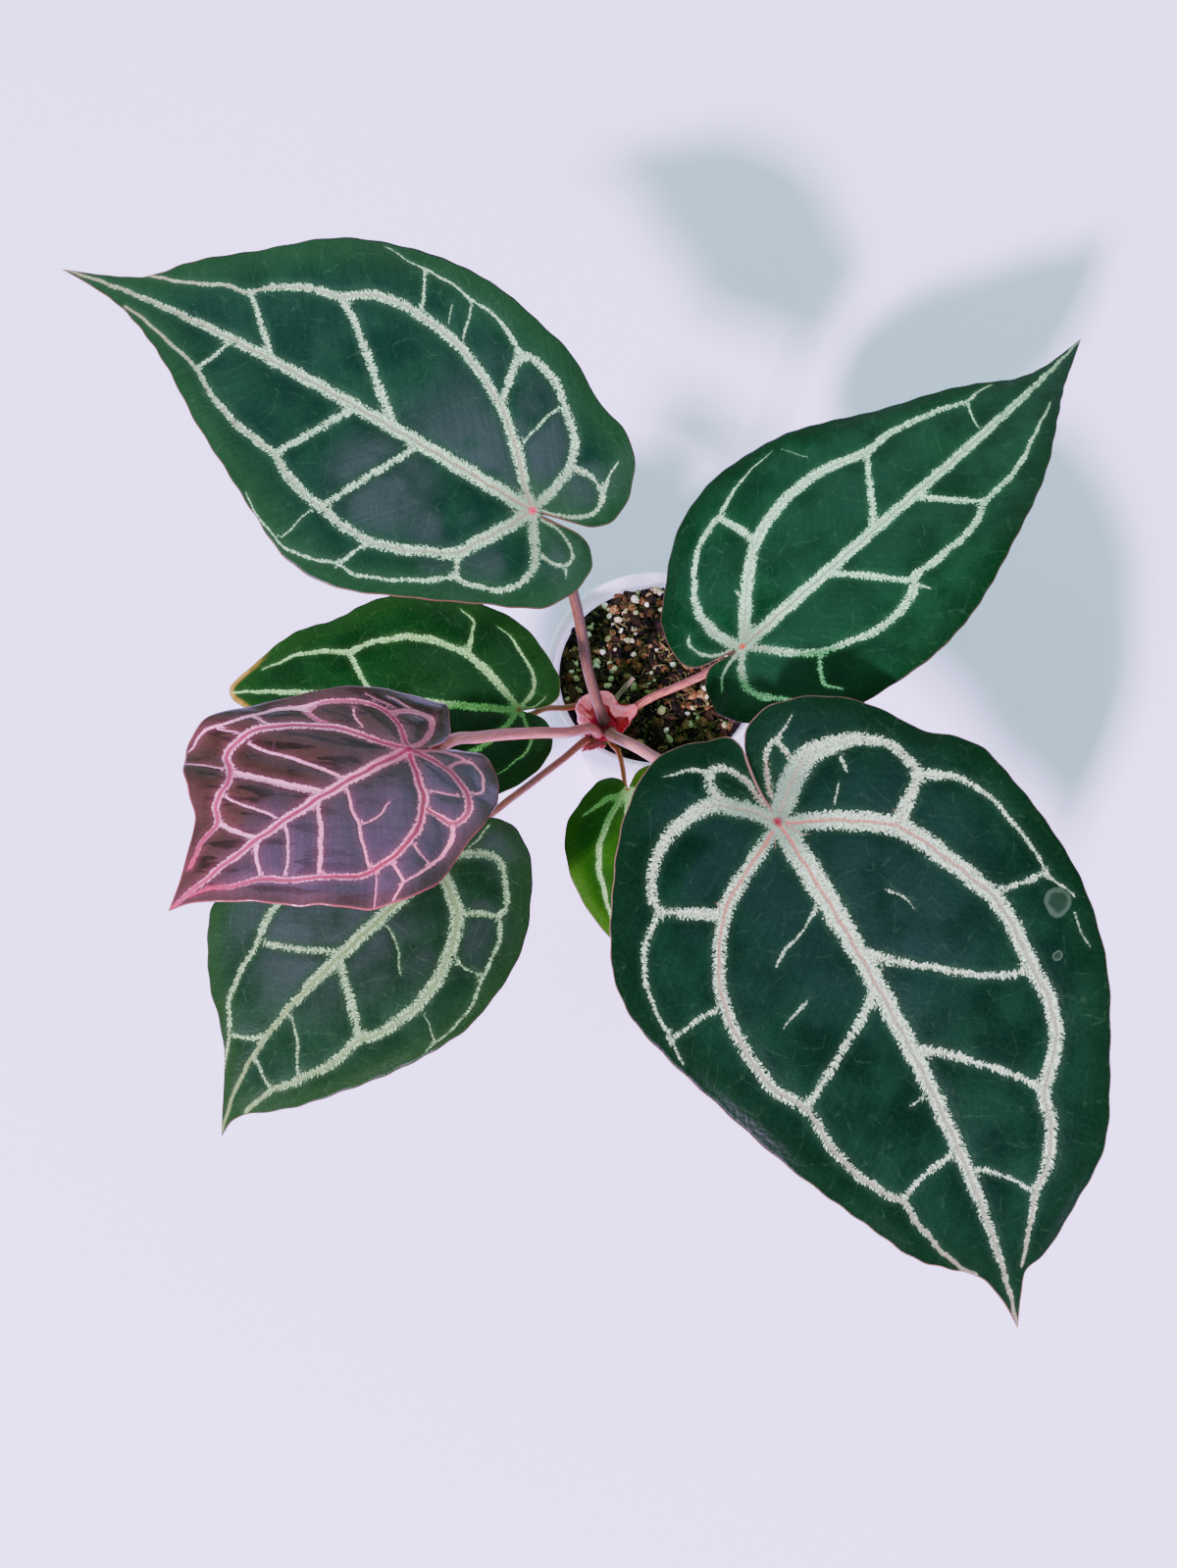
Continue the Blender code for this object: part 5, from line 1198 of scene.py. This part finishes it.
def grains(name, rng, count, sizes, flat, rough, level, sink, material, crease):
    """Stones or chips scattered on the heap: one ball each, its points pushed in and out, squashed, turned.

    Each leans a little at random, keeps clear of the stem and is sunk by a share of its half height.
    """
    points, faces = ball(level)
    angle, out = rng.uniform(0, 2 * math.pi, count), GRAIN_REACH * np.sqrt(rng.uniform(0, 1, count))
    place = np.stack([out * np.cos(angle), out * np.sin(angle)], axis=-1)
    stem = stem_point(86.0, 0, 0.0)[:2]
    gap = place - stem
    far = np.linalg.norm(gap, axis=1, keepdims=True)
    place = stem + gap * np.maximum(1, STEM_CLEAR / np.maximum(far, 1e-6))
    size = rng.uniform(*sizes, count) * rng.uniform(0.75, 1, count)
    stretch = np.stack([np.ones(count), rng.uniform(0.55, 0.95, count), rng.uniform(*flat, count)], axis=-1)
    shape = points[None] * (1 + rough * rng.uniform(-1, 1, (count, len(points), 1)))
    shape = shape * (stretch * size[:, None] / 2)[:, None]
    spin = rng.uniform(0, 2 * math.pi, count)
    lean = rng.normal(0, 0.35, (count, 2))
    turned = turn("x", lean[:, 0]) @ turn("y", lean[:, 1]) @ turn("z", spin)
    shape = np.einsum("nij,nkj->nki", turned, shape)
    tall = shape[..., 2].max(axis=1)
    height = heap(place[:, 0], place[:, 1]) + tall * (1 - sink)
    shape = shape + np.column_stack([place, height])[:, None]
    index = (faces[None] + (np.arange(count) * len(points))[:, None, None]).reshape(-1, 3)
    tone = np.repeat(rng.uniform(0, 1, count), len(points))
    rng.uniform(0, 1, count)  # not used: it keeps the places of what is drawn next
    return piece(name, shape.reshape(-1, 3), index, [material], values=dict(tone=tone), crease=crease)


def strands(name, rng, count, material):
    """Loose fibres on the heap: a thin round tube each, along an arc of a circle laid on the mix."""
    sides, rings = 5, 12
    t = np.linspace(-1, 1, rings)[None]
    angle, out = rng.uniform(0, 2 * math.pi, count), FIBRE_REACH * np.sqrt(rng.uniform(0, 1, count))
    heading, long = rng.uniform(0, 2 * math.pi, count)[:, None], rng.uniform(0.003, 0.011, count)[:, None]
    bend = rng.uniform(-1.1, 1.1, count)[:, None]
    way = heading + bend * t + 0.5 * np.sin(5 * t + heading)
    step = long / rings * 2
    x = (out * np.cos(angle))[:, None] + np.cumsum(step * np.cos(way), axis=1)
    y = (out * np.sin(angle))[:, None] + np.cumsum(step * np.sin(way), axis=1)
    shrink = np.minimum(1, FIBRE_LIMIT / np.maximum(np.hypot(x, y), 1e-6))
    x, y = x * shrink, y * shrink
    z = heap(x, y) + 0.0009 + rng.uniform(0, 0.0010, count)[:, None] * (1 - t * t)
    line = np.stack([x, y, z], axis=-1)
    ahead = unit(np.gradient(line, axis=1))
    side = unit(np.cross(ahead, (0.0, 0.0, 1.0)))
    up = np.cross(side, ahead)
    round_ = np.linspace(0, 2 * math.pi, sides, endpoint=False)
    radius = rng.uniform(0.00016, 0.00042, count)[:, None] * (1 - 0.7 * t**6)
    ring = np.cos(round_)[:, None] * side[:, :, None] + np.sin(round_)[:, None] * up[:, :, None]
    points = line[:, :, None] + radius[..., None, None] * ring
    quads = grid_faces(rings, sides, closed=True)
    start = (np.arange(count) * rings * sides)[:, None, None]
    caps = np.stack([np.arange(sides)[::-1], (rings - 1) * sides + np.arange(sides)])
    tone = np.repeat(rng.uniform(0, 1, count), rings * sides)
    faces = [(group[None, :, ::-1] + start).reshape(-1, group.shape[1]) for group in (quads, caps)]
    return piece(name, points.reshape(-1, 3), faces, [material], values=dict(tone=tone), crease=0)


def mottled(name, colours, scale, roughness):
    """A rough matter whose colour runs through the given colours, by each grain's tone and by noise."""
    g = Graph(name, roughness, Specular_IOR_Level=0.12)
    place = g.place()
    coarse, fine = g.noise(place, scale, 4.0, 0.6), g.noise(place, scale * 5, 3.0, 0.7)
    tone = g.value("tone") + (coarse - 0.5) * 1.2
    colour = colours[0]
    for k, item in enumerate(colours[1:]):
        low = (k + 0.35) / len(colours[1:])
        colour = g.mix(g.step(tone, low, low + 0.12), colour, item)
    colour = g.mix(g.step(fine, 0.35, 0.75, 0.45, 0.0), colour, scaled(colours[0], 0.35))
    return g.finish(colour, None, [(coarse, 0.6, 0.0006), (fine, 0.6, 0.0003)])


# ---- pot ----
# The drainage holes and the ring of the floor that holds them, in metres.
HOLES, HOLE_RADIUS, HOLE_RING, PLATE_LOW, PLATE_HIGH = 8, 0.0032, 0.027, 0.0205, 0.0335
# Steps of the mesh: round the pot, across the floor's ring, and from a hole to its sector's border.
TURN_STEPS, RUN_STEPS, HOLE_STEPS = 144, 6, 4
SAME_PLACE = 1e-7  # metres; points this close are one
# Painted shade: the dark mix seen through the wall, painted into the plastic's colour.
PAINTED_MIX_SHADE = (0.30, 0.26, 0.22)  # the dark mix, seen through the wall


def lathe(profile, segments):
    """A profile that runs up the outside, turned about +Z: (r cos a, r sin a, z)."""
    profile = np.asarray(profile, float)
    angle = np.linspace(0, 2 * math.pi, segments, endpoint=False)
    r, z = profile[:, :1], profile[:, 1:]
    points = np.stack([r * np.cos(angle), r * np.sin(angle), z + 0 * angle], axis=-1)
    return points.reshape(-1, 3), grid_faces(len(profile), segments, closed=True)


def weld(parts):
    """Joins meshes given as (points, quads): points at the same place become one, pinched quads triangles."""
    points = np.vstack([p for p, _ in parts])
    starts = np.cumsum([0] + [len(p) for p, _ in parts[:-1]])
    quads = np.vstack([f + s for (_, f), s in zip(parts, starts)])
    _, first, index = np.unique(np.round(points / SAME_PLACE).astype(np.int64), axis=0, return_index=True,
                                return_inverse=True)
    return points[first], list(unpinched(index.reshape(-1)[quads]))


def plate(rim, height):
    """The pot's floor with its holes, at one height: point = (1 - t) circle + t border, round each hole.

    The border is a sector of the ring that holds the holes; a disc fills it inside and a ring outside.
    """
    steps = TURN_STEPS // HOLES
    parts = []
    for k in range(HOLES):
        low, high = 2 * math.pi * k / HOLES, 2 * math.pi * (k + 1) / HOLES
        arc, run = np.linspace(low, high, steps + 1), np.linspace(PLATE_HIGH, PLATE_LOW, RUN_STEPS + 1)
        r = np.concatenate([np.full(steps, PLATE_HIGH), run[:-1], np.full(steps, PLATE_LOW), run[:0:-1]])
        a = np.concatenate([arc[:-1], np.full(RUN_STEPS, high), arc[:0:-1], np.full(RUN_STEPS, low)])
        border = np.column_stack([r * np.cos(a), r * np.sin(a)])
        middle = HOLE_RING * np.array([math.cos((low + high) / 2), math.sin((low + high) / 2)])
        circle = middle + HOLE_RADIUS * unit(border - middle)
        t = np.linspace(0, 1, HOLE_STEPS + 1)[:, None, None]
        flat = ((1 - t) * circle + t * border).reshape(-1, 2)
        parts.append((flat, grid_faces(len(t), len(r), closed=True)[:, ::-1]))
    angle = np.linspace(0, 2 * math.pi, TURN_STEPS, endpoint=False)
    way = np.column_stack([np.cos(angle), np.sin(angle)])
    for radii in ((0.0, 0.007, 0.014, PLATE_LOW), (PLATE_HIGH, (PLATE_HIGH + rim) / 2, rim)):
        flat = (np.array(radii)[:, None, None] * way).reshape(-1, 2)
        parts.append((flat, grid_faces(len(radii), TURN_STEPS, closed=True)[:, ::-1]))
    return [(np.column_stack([flat, np.full(len(flat), height)]), faces) for flat, faces in parts]


def pot_mesh():
    """The pot's wall turned from its profile, its two floor faces and the walls of its holes, as one body."""
    h, r, wall, step, base = POT_HEIGHT, POT_RIM, POT_WALL, POT_STEP, POT_BASE
    bead = smooth_path([(POT_NECK, h - 0.0036), (r - 0.0003, h - 0.0030), (r, h - 0.0018),
                        (r - 0.0005, h - 0.0004), (r - 0.0014, h), (0.0528, h - 0.0004),
                        (0.0524, h - 0.0014)], 4)
    side = np.column_stack([np.linspace(base, POT_SIDE_TOP, 12), np.linspace(0.0013, step - 0.0005, 12)])
    shoulder = smooth_path([(POT_SIDE_TOP, step - 0.0005), (0.0511, step + 0.0004), (0.0528, step + 0.0016),
                            (0.0532, step + 0.0025)], 4)[1:]
    foot = smooth_path([(base - 0.0013, 0), (base - 0.0004, 0.0004), (base, 0.0013)], 4)
    inside = [(POT_NECK - wall - 0.0002, step + 0.0035), (0.0522, step + 0.0022), (0.0510, step + 0.0013),
              (POT_SIDE_TOP - wall, step), (base - wall, POT_FLOOR)]
    profile = np.vstack([foot[:-1], side, shoulder, bead, inside])
    below, above = plate(base - 0.0013, 0.0), plate(base - wall, POT_FLOOR)
    parts = [lathe(profile, TURN_STEPS)] + [(p, f[:, ::-1]) for p, f in below] + above
    for (a, _), (b, _) in zip(below[:HOLES], above[:HOLES]):
        count = len(a) // (HOLE_STEPS + 1)
        parts.append((np.vstack([a[:count], b[:count]]), grid_faces(2, count, closed=True)))
    return weld(parts)


# ---- settings ----
class BladeSettings(bpy.types.PropertyGroup):
    thickness: FloatProperty(name="Thickness", description="Thickness of a blade between its ribs",
                             default=0.0005, min=0.0003, max=0.0008, **LENGTH)
    quilt: FloatProperty(name="Quilting", description="How far the tissue rises between the veins",
                         default=0.0009, min=0.0, max=0.0012, **LENGTH)
    feather: FloatProperty(name="Feathering", description="How far the pale bands' fibres reach outwards",
                           default=1.0, min=0.0, max=2.0, subtype="FACTOR")


class PetioleSettings(bpy.types.PropertyGroup):
    sides: IntProperty(name="Sides", description="Points round a stalk", default=22, min=12, max=48)
    groove: FloatProperty(name="Groove", description="Depth of the groove on top, as a share of the radius",
                          default=0.16, min=0.0, max=0.3, subtype="FACTOR")
    swelling: FloatProperty(name="Swelling", description="How much a stalk thickens below its blade",
                            default=0.22, min=0.0, max=0.5, subtype="FACTOR")


class CrownSettings(bpy.types.PropertyGroup):
    coral: FloatVectorProperty(name="Sheath outside", description="Colour of the fresh sheaths' outer face",
                               default=(1.0, 0.078, 0.105), **COLOUR)
    inside: FloatVectorProperty(name="Sheath inside", description="Colour of the fresh sheaths' inner face",
                                default=(0.90, 0.048, 0.070), **COLOUR)
    papery: FloatVectorProperty(name="Papery scale", description="Colour of the dry scale",
                                default=(1.0, 0.330, 0.430), **COLOUR)


class SoilSettings(bpy.types.PropertyGroup):
    bark: IntProperty(name="Bark chips", description="How many bark chips lie on top", default=900, min=0,
                      max=2000)
    perlite: IntProperty(name="Perlite", description="How many pale grains lie on top", default=180, min=0,
                         max=800)
    grit: IntProperty(name="Grit", description="How many fine crumbs lie on top", default=3600, min=0, max=5000)
    fibres: IntProperty(name="Fibres", description="How many loose strands lie on top", default=260, min=0,
                        max=600)


class PotSettings(bpy.types.PropertyGroup):
    plastic: FloatVectorProperty(name="Plastic", description="Colour of the milky plastic",
                                 default=(0.90, 0.86, 0.88), **COLOUR)
    milkiness: FloatProperty(name="Milkiness", description="How much light spreads inside the wall",
                             default=0.9, min=0.0, max=1.0, subtype="FACTOR")


class StageSettings(bpy.types.PropertyGroup):
    floor: FloatVectorProperty(name="Floor", description="Colour of the floor", default=(0.82, 0.72, 0.97),
                               **COLOUR)
    key: FloatProperty(name="Key light", description="Power of the large soft light", default=5130.0, min=0.0,
                       max=10000.0, unit="POWER")
    window: FloatProperty(name="Window light", description="Power of the light behind, which the leaves mirror",
                          default=10.0, min=0.0, max=100.0, unit="POWER")
    fill: FloatProperty(name="Fill light", description="Strength of the light from all round", default=0.95,
                        min=0.0, max=3.0)


# ---- pieces ----
# The photo's camera: its place and how far it looks down from level, in degrees.
CAMERA_PLACE, CAMERA_DOWN = (-0.0345, -0.2790, 0.6090), 67.4
FLOOR_HALF, FLOOR_LEVEL = 4.0, -0.0004
# From the plant, the key light stands in front and a little to the left, 33 degrees up; the window is behind.
KEY_TOWARD, WINDOW_TOWARD = (-0.44, -0.90, 0.65), (0.18, 0.79, 0.59)


class ANTHURIUM_OT_blades(bpy.types.Operator):
    """Make the seven blades, with their veins"""
    bl_idname = "anthurium.blades"
    bl_label = "Blades"

    def execute(self, context):
        for name, leaf in LEAVES.items():
            look = LOOKS[name]
            materials = [blade_face(name, look), blade_underside(name, look)]
            fit(blade_piece(name, leaf, VEINS[name], look, materials), f"blade_{name}_face", f"blade_{name}")
        return {"FINISHED"}


class ANTHURIUM_OT_petioles(bpy.types.Operator):
    """Make the seven leaf stalks, each up to its blade"""
    bl_idname = "anthurium.petioles"
    bl_label = "Petioles"

    def execute(self, context):
        look = context.scene.anthurium_petioles
        for name, spec in PETIOLES.items():
            line, ends = petiole_line(spec, LEAVES[name])
            along = lengths(line) / MM
            ending = along[-1] - along
            foot, blade_end = (r * MM for r in spec["radius"])
            radii = foot + (blade_end - foot) * along / along[-1]
            radii = radii * (1 + look.swelling * np.exp(-(ending / BLADE_SWELLING) ** 2)
                             + FOOT_SWELLING[1] * np.exp(-(along / FOOT_SWELLING[0]) ** 2))
            points, faces, values = tube(line, radii, look.sides, look.groove, ends)
            values["ending"] = np.repeat(ending, look.sides)
            skin = stalk_skin(f"{name}_stalk_skin", *STALKS[name])
            fit(piece(f"stalk_{name}", points, faces, [skin], values=values, crease=60),
                f"petiole_{name}_skin", f"petiole_{name}")
        return {"FINISHED"}


class ANTHURIUM_OT_crown(bpy.types.Operator):
    """Make the stem, its sheaths and scale, and the stub of an old stalk"""
    bl_idname = "anthurium.crown"
    bl_label = "Crown"

    def execute(self, context):
        look = context.scene.anthurium_crown
        rind = mottled("stem_rind", RIND, 0.5, 0.75)
        fit(even_tone("stem", stem_mesh(), rind, 0.5, 60), "stem_rind", "crown_stem")
        for name, (ragged, seed) in TEARING.items():
            points, faces, values = sheath(SHEATHS[name], ragged, seed)
            skin = sheath_skin(name, look)
            fit(piece(f"{name}_scale", points, faces, [skin], values=values, crease=55),
                "sheath_papery" if name == "sheath_front" else "sheath_coral", name)
        dry = mottled("old_stalk_dry", DRY_STALK, 0.6, 0.8)
        fit(even_tone("old_stalk", old_stalk_mesh(), dry, 0.5, 60), "old_stalk_dry", "old_petiole_stub")
        return {"FINISHED"}


class ANTHURIUM_OT_soil(bpy.types.Operator):
    """Make the heaped bark mix and everything that lies on it"""
    bl_idname = "anthurium.soil"
    bl_label = "Bark mix"

    def execute(self, context):
        look = context.scene.anthurium_soil
        mix = mottled("bark_mix", BARK_MIX, 0.8, 0.95)
        fit(even_tone("potting_mix", mix_mesh(), mix, 0.35, 0), "bark_mix", "soil")
        rng = np.random.default_rng(21)
        chip, crumb = mottled("bark_chips", BARK, 0.9, 0.85), mottled("grit_crumbs", GRIT, 1.5, 0.9)
        white, moss = mottled("perlite_white", PERLITE, 1.6, 0.9), mottled("moss_fibres", MOSS, 1.0, 0.9)
        # Each kind's count, sizes and flatness, its roughness, its ball, how far it is sunk, and its crease.
        for obj in (
                grains("bark_chips", rng, look.bark, (0.002, 0.0074), (0.25, 0.60), 0.24, 1, 0.3, chip, 25),
                grains("grit_crumbs", rng, look.grit, (0.0006, 0.002), (0.5, 0.9), 0.25, 0, 0.2, crumb, 25),
                grains("perlite_grains", rng, look.perlite, (0.0013, 0.0058), (0.6, 0.95), 0.14, 1, 0.2, white,
                       50),
                strands("moss_fibres", rng, look.fibres, moss)):
            fit(obj, "bark_mix")
        return {"FINISHED"}


class ANTHURIUM_OT_pot(bpy.types.Operator):
    """Make the thin milky pot with its stepped band, rolled rim and drainage holes"""
    bl_idname = "anthurium.pot"
    bl_label = "Pot"

    def execute(self, context):
        look = context.scene.anthurium_pot
        points, faces = pot_mesh()
        g = Graph("milky_plastic", 0.30, Subsurface_Weight=look.milkiness, Subsurface_Scale=0.010,
                  Subsurface_Radius=(1.0, 0.9, 0.85), Transmission_Weight=0.25)
        place = g.place()
        cloud, fine = g.noise(place, 0.09, 4.0, 0.6), g.noise(place, 1.4, 2.0)
        # Painted shade: the dark mix shows faintly through the wall below its level, painted as a darker
        # mottled band.
        mix_shade_share = g.step(g.parts(place)[2], 78.0, 83.0, 1.0, 0.0) * g.step(cloud, 0.30, 0.72, 0.16, 0.42)
        colour = g.mix(mix_shade_share, look.plastic, PAINTED_MIX_SHADE)
        plastic = g.finish(colour, g.step(fine, 0.3, 0.7, 0.24, 0.36),
                           [(cloud, 0.08, 0.0005), (fine, 0.05, 0.0001)])
        fit(piece("nursery_pot", points, faces, [plastic], crease=40), "pot_plastic", "pot")
        return {"FINISHED"}


class ANTHURIUM_OT_stage(bpy.types.Operator):
    """Make the camera, the floor and the lights"""
    bl_idname = "anthurium.stage"
    bl_label = "Stage"

    def execute(self, context):
        scene = context.scene
        look = scene.anthurium_stage

        def put(name, data, place, rotation):
            obj = bpy.data.objects.new(name, data)
            obj.location, obj.rotation_euler = place, rotation
            scene.collection.objects.link(obj)
            return obj

        lens = bpy.data.cameras.new("photo_camera")
        lens.lens, lens.sensor_width, lens.clip_start, lens.clip_end = 27.0, 36.0, 0.01, 50.0
        scene.camera = put("photo_camera", lens, CAMERA_PLACE, (math.radians(90.0 - CAMERA_DOWN), 0.0, 0.0))
        g = Graph("floor_paint", 0.75)
        paint = g.finish(g.mix(g.noise(g.place(), 0.0022, 3.0), scaled(look.floor, 0.97), look.floor))
        x, y = np.meshgrid(*[np.linspace(-FLOOR_HALF, FLOOR_HALF, 9)] * 2)
        points = np.stack([x, y, np.full_like(x, FLOOR_LEVEL)], axis=-1).reshape(-1, 3)
        piece("studio_floor", points, grid_faces(9, 9), [paint], crease=0)
        for name, toward, far, size, power, colour in (
                ("key_light", KEY_TOWARD, 10.0, (0.67, 0.67), look.key, (1.04, 0.675, 1.355)),
                ("window_light", WINDOW_TOWARD, 2.6, (1.60, 1.20), look.window, (0.90, 0.64, 1.25))):
            light = bpy.data.lights.new(name, "AREA")
            light.shape, light.size, light.size_y, light.energy = "RECTANGLE", *size, power
            light.color = colour
            toward = unit(toward)
            put(name, light, toward * far,
                (math.acos(toward[2]), 0.0, math.atan2(toward[1], toward[0]) + math.pi / 2))
        world = bpy.data.worlds.new("studio_fill")
        world.use_nodes = True
        back = world.node_tree.nodes["Background"]
        back.inputs["Color"].default_value = (0.79, 1.45, 1.37, 1.0)
        back.inputs["Strength"].default_value = look.fill
        scene.world = world
        return {"FINISHED"}


OPERATORS = (ANTHURIUM_OT_stage, ANTHURIUM_OT_pot, ANTHURIUM_OT_soil, ANTHURIUM_OT_crown,
             ANTHURIUM_OT_petioles, ANTHURIUM_OT_blades)
SETTINGS = {"anthurium_stage": StageSettings, "anthurium_pot": PotSettings, "anthurium_soil": SoilSettings,
            "anthurium_crown": CrownSettings, "anthurium_petioles": PetioleSettings,
            "anthurium_blades": BladeSettings}


class ANTHURIUM_PT_panel(bpy.types.Panel):
    """Lists the settings and the steps that make the plant"""
    bl_label = "Potted anthurium"
    bl_idname = "ANTHURIUM_PT_panel"
    bl_space_type = "VIEW_3D"
    bl_region_type = "UI"
    bl_category = "Anthurium"

    def draw(self, context):
        for (key, settings), operator in zip(SETTINGS.items(), OPERATORS):
            box = self.layout.box()
            box.label(text=operator.bl_label)
            for name in settings.__annotations__:
                box.prop(getattr(context.scene, key), name)
            box.operator(operator.bl_idname)


def register():
    for cls in (*SETTINGS.values(), *OPERATORS, ANTHURIUM_PT_panel):
        bpy.utils.register_class(cls)
    for key, settings in SETTINGS.items():
        setattr(bpy.types.Scene, key, PointerProperty(type=settings))


def unregister():
    for key in SETTINGS:
        delattr(bpy.types.Scene, key)
    for cls in (ANTHURIUM_PT_panel, *reversed(OPERATORS), *reversed(SETTINGS.values())):
        bpy.utils.unregister_class(cls)


def main():
    register()
    for step in ("stage", "pot", "soil", "crown", "petioles", "blades"):
        if getattr(bpy.ops.anthurium, step)() != {"FINISHED"}:
            raise RuntimeError(f"the step {step} did not finish")


if __name__ == "__main__":
    main()
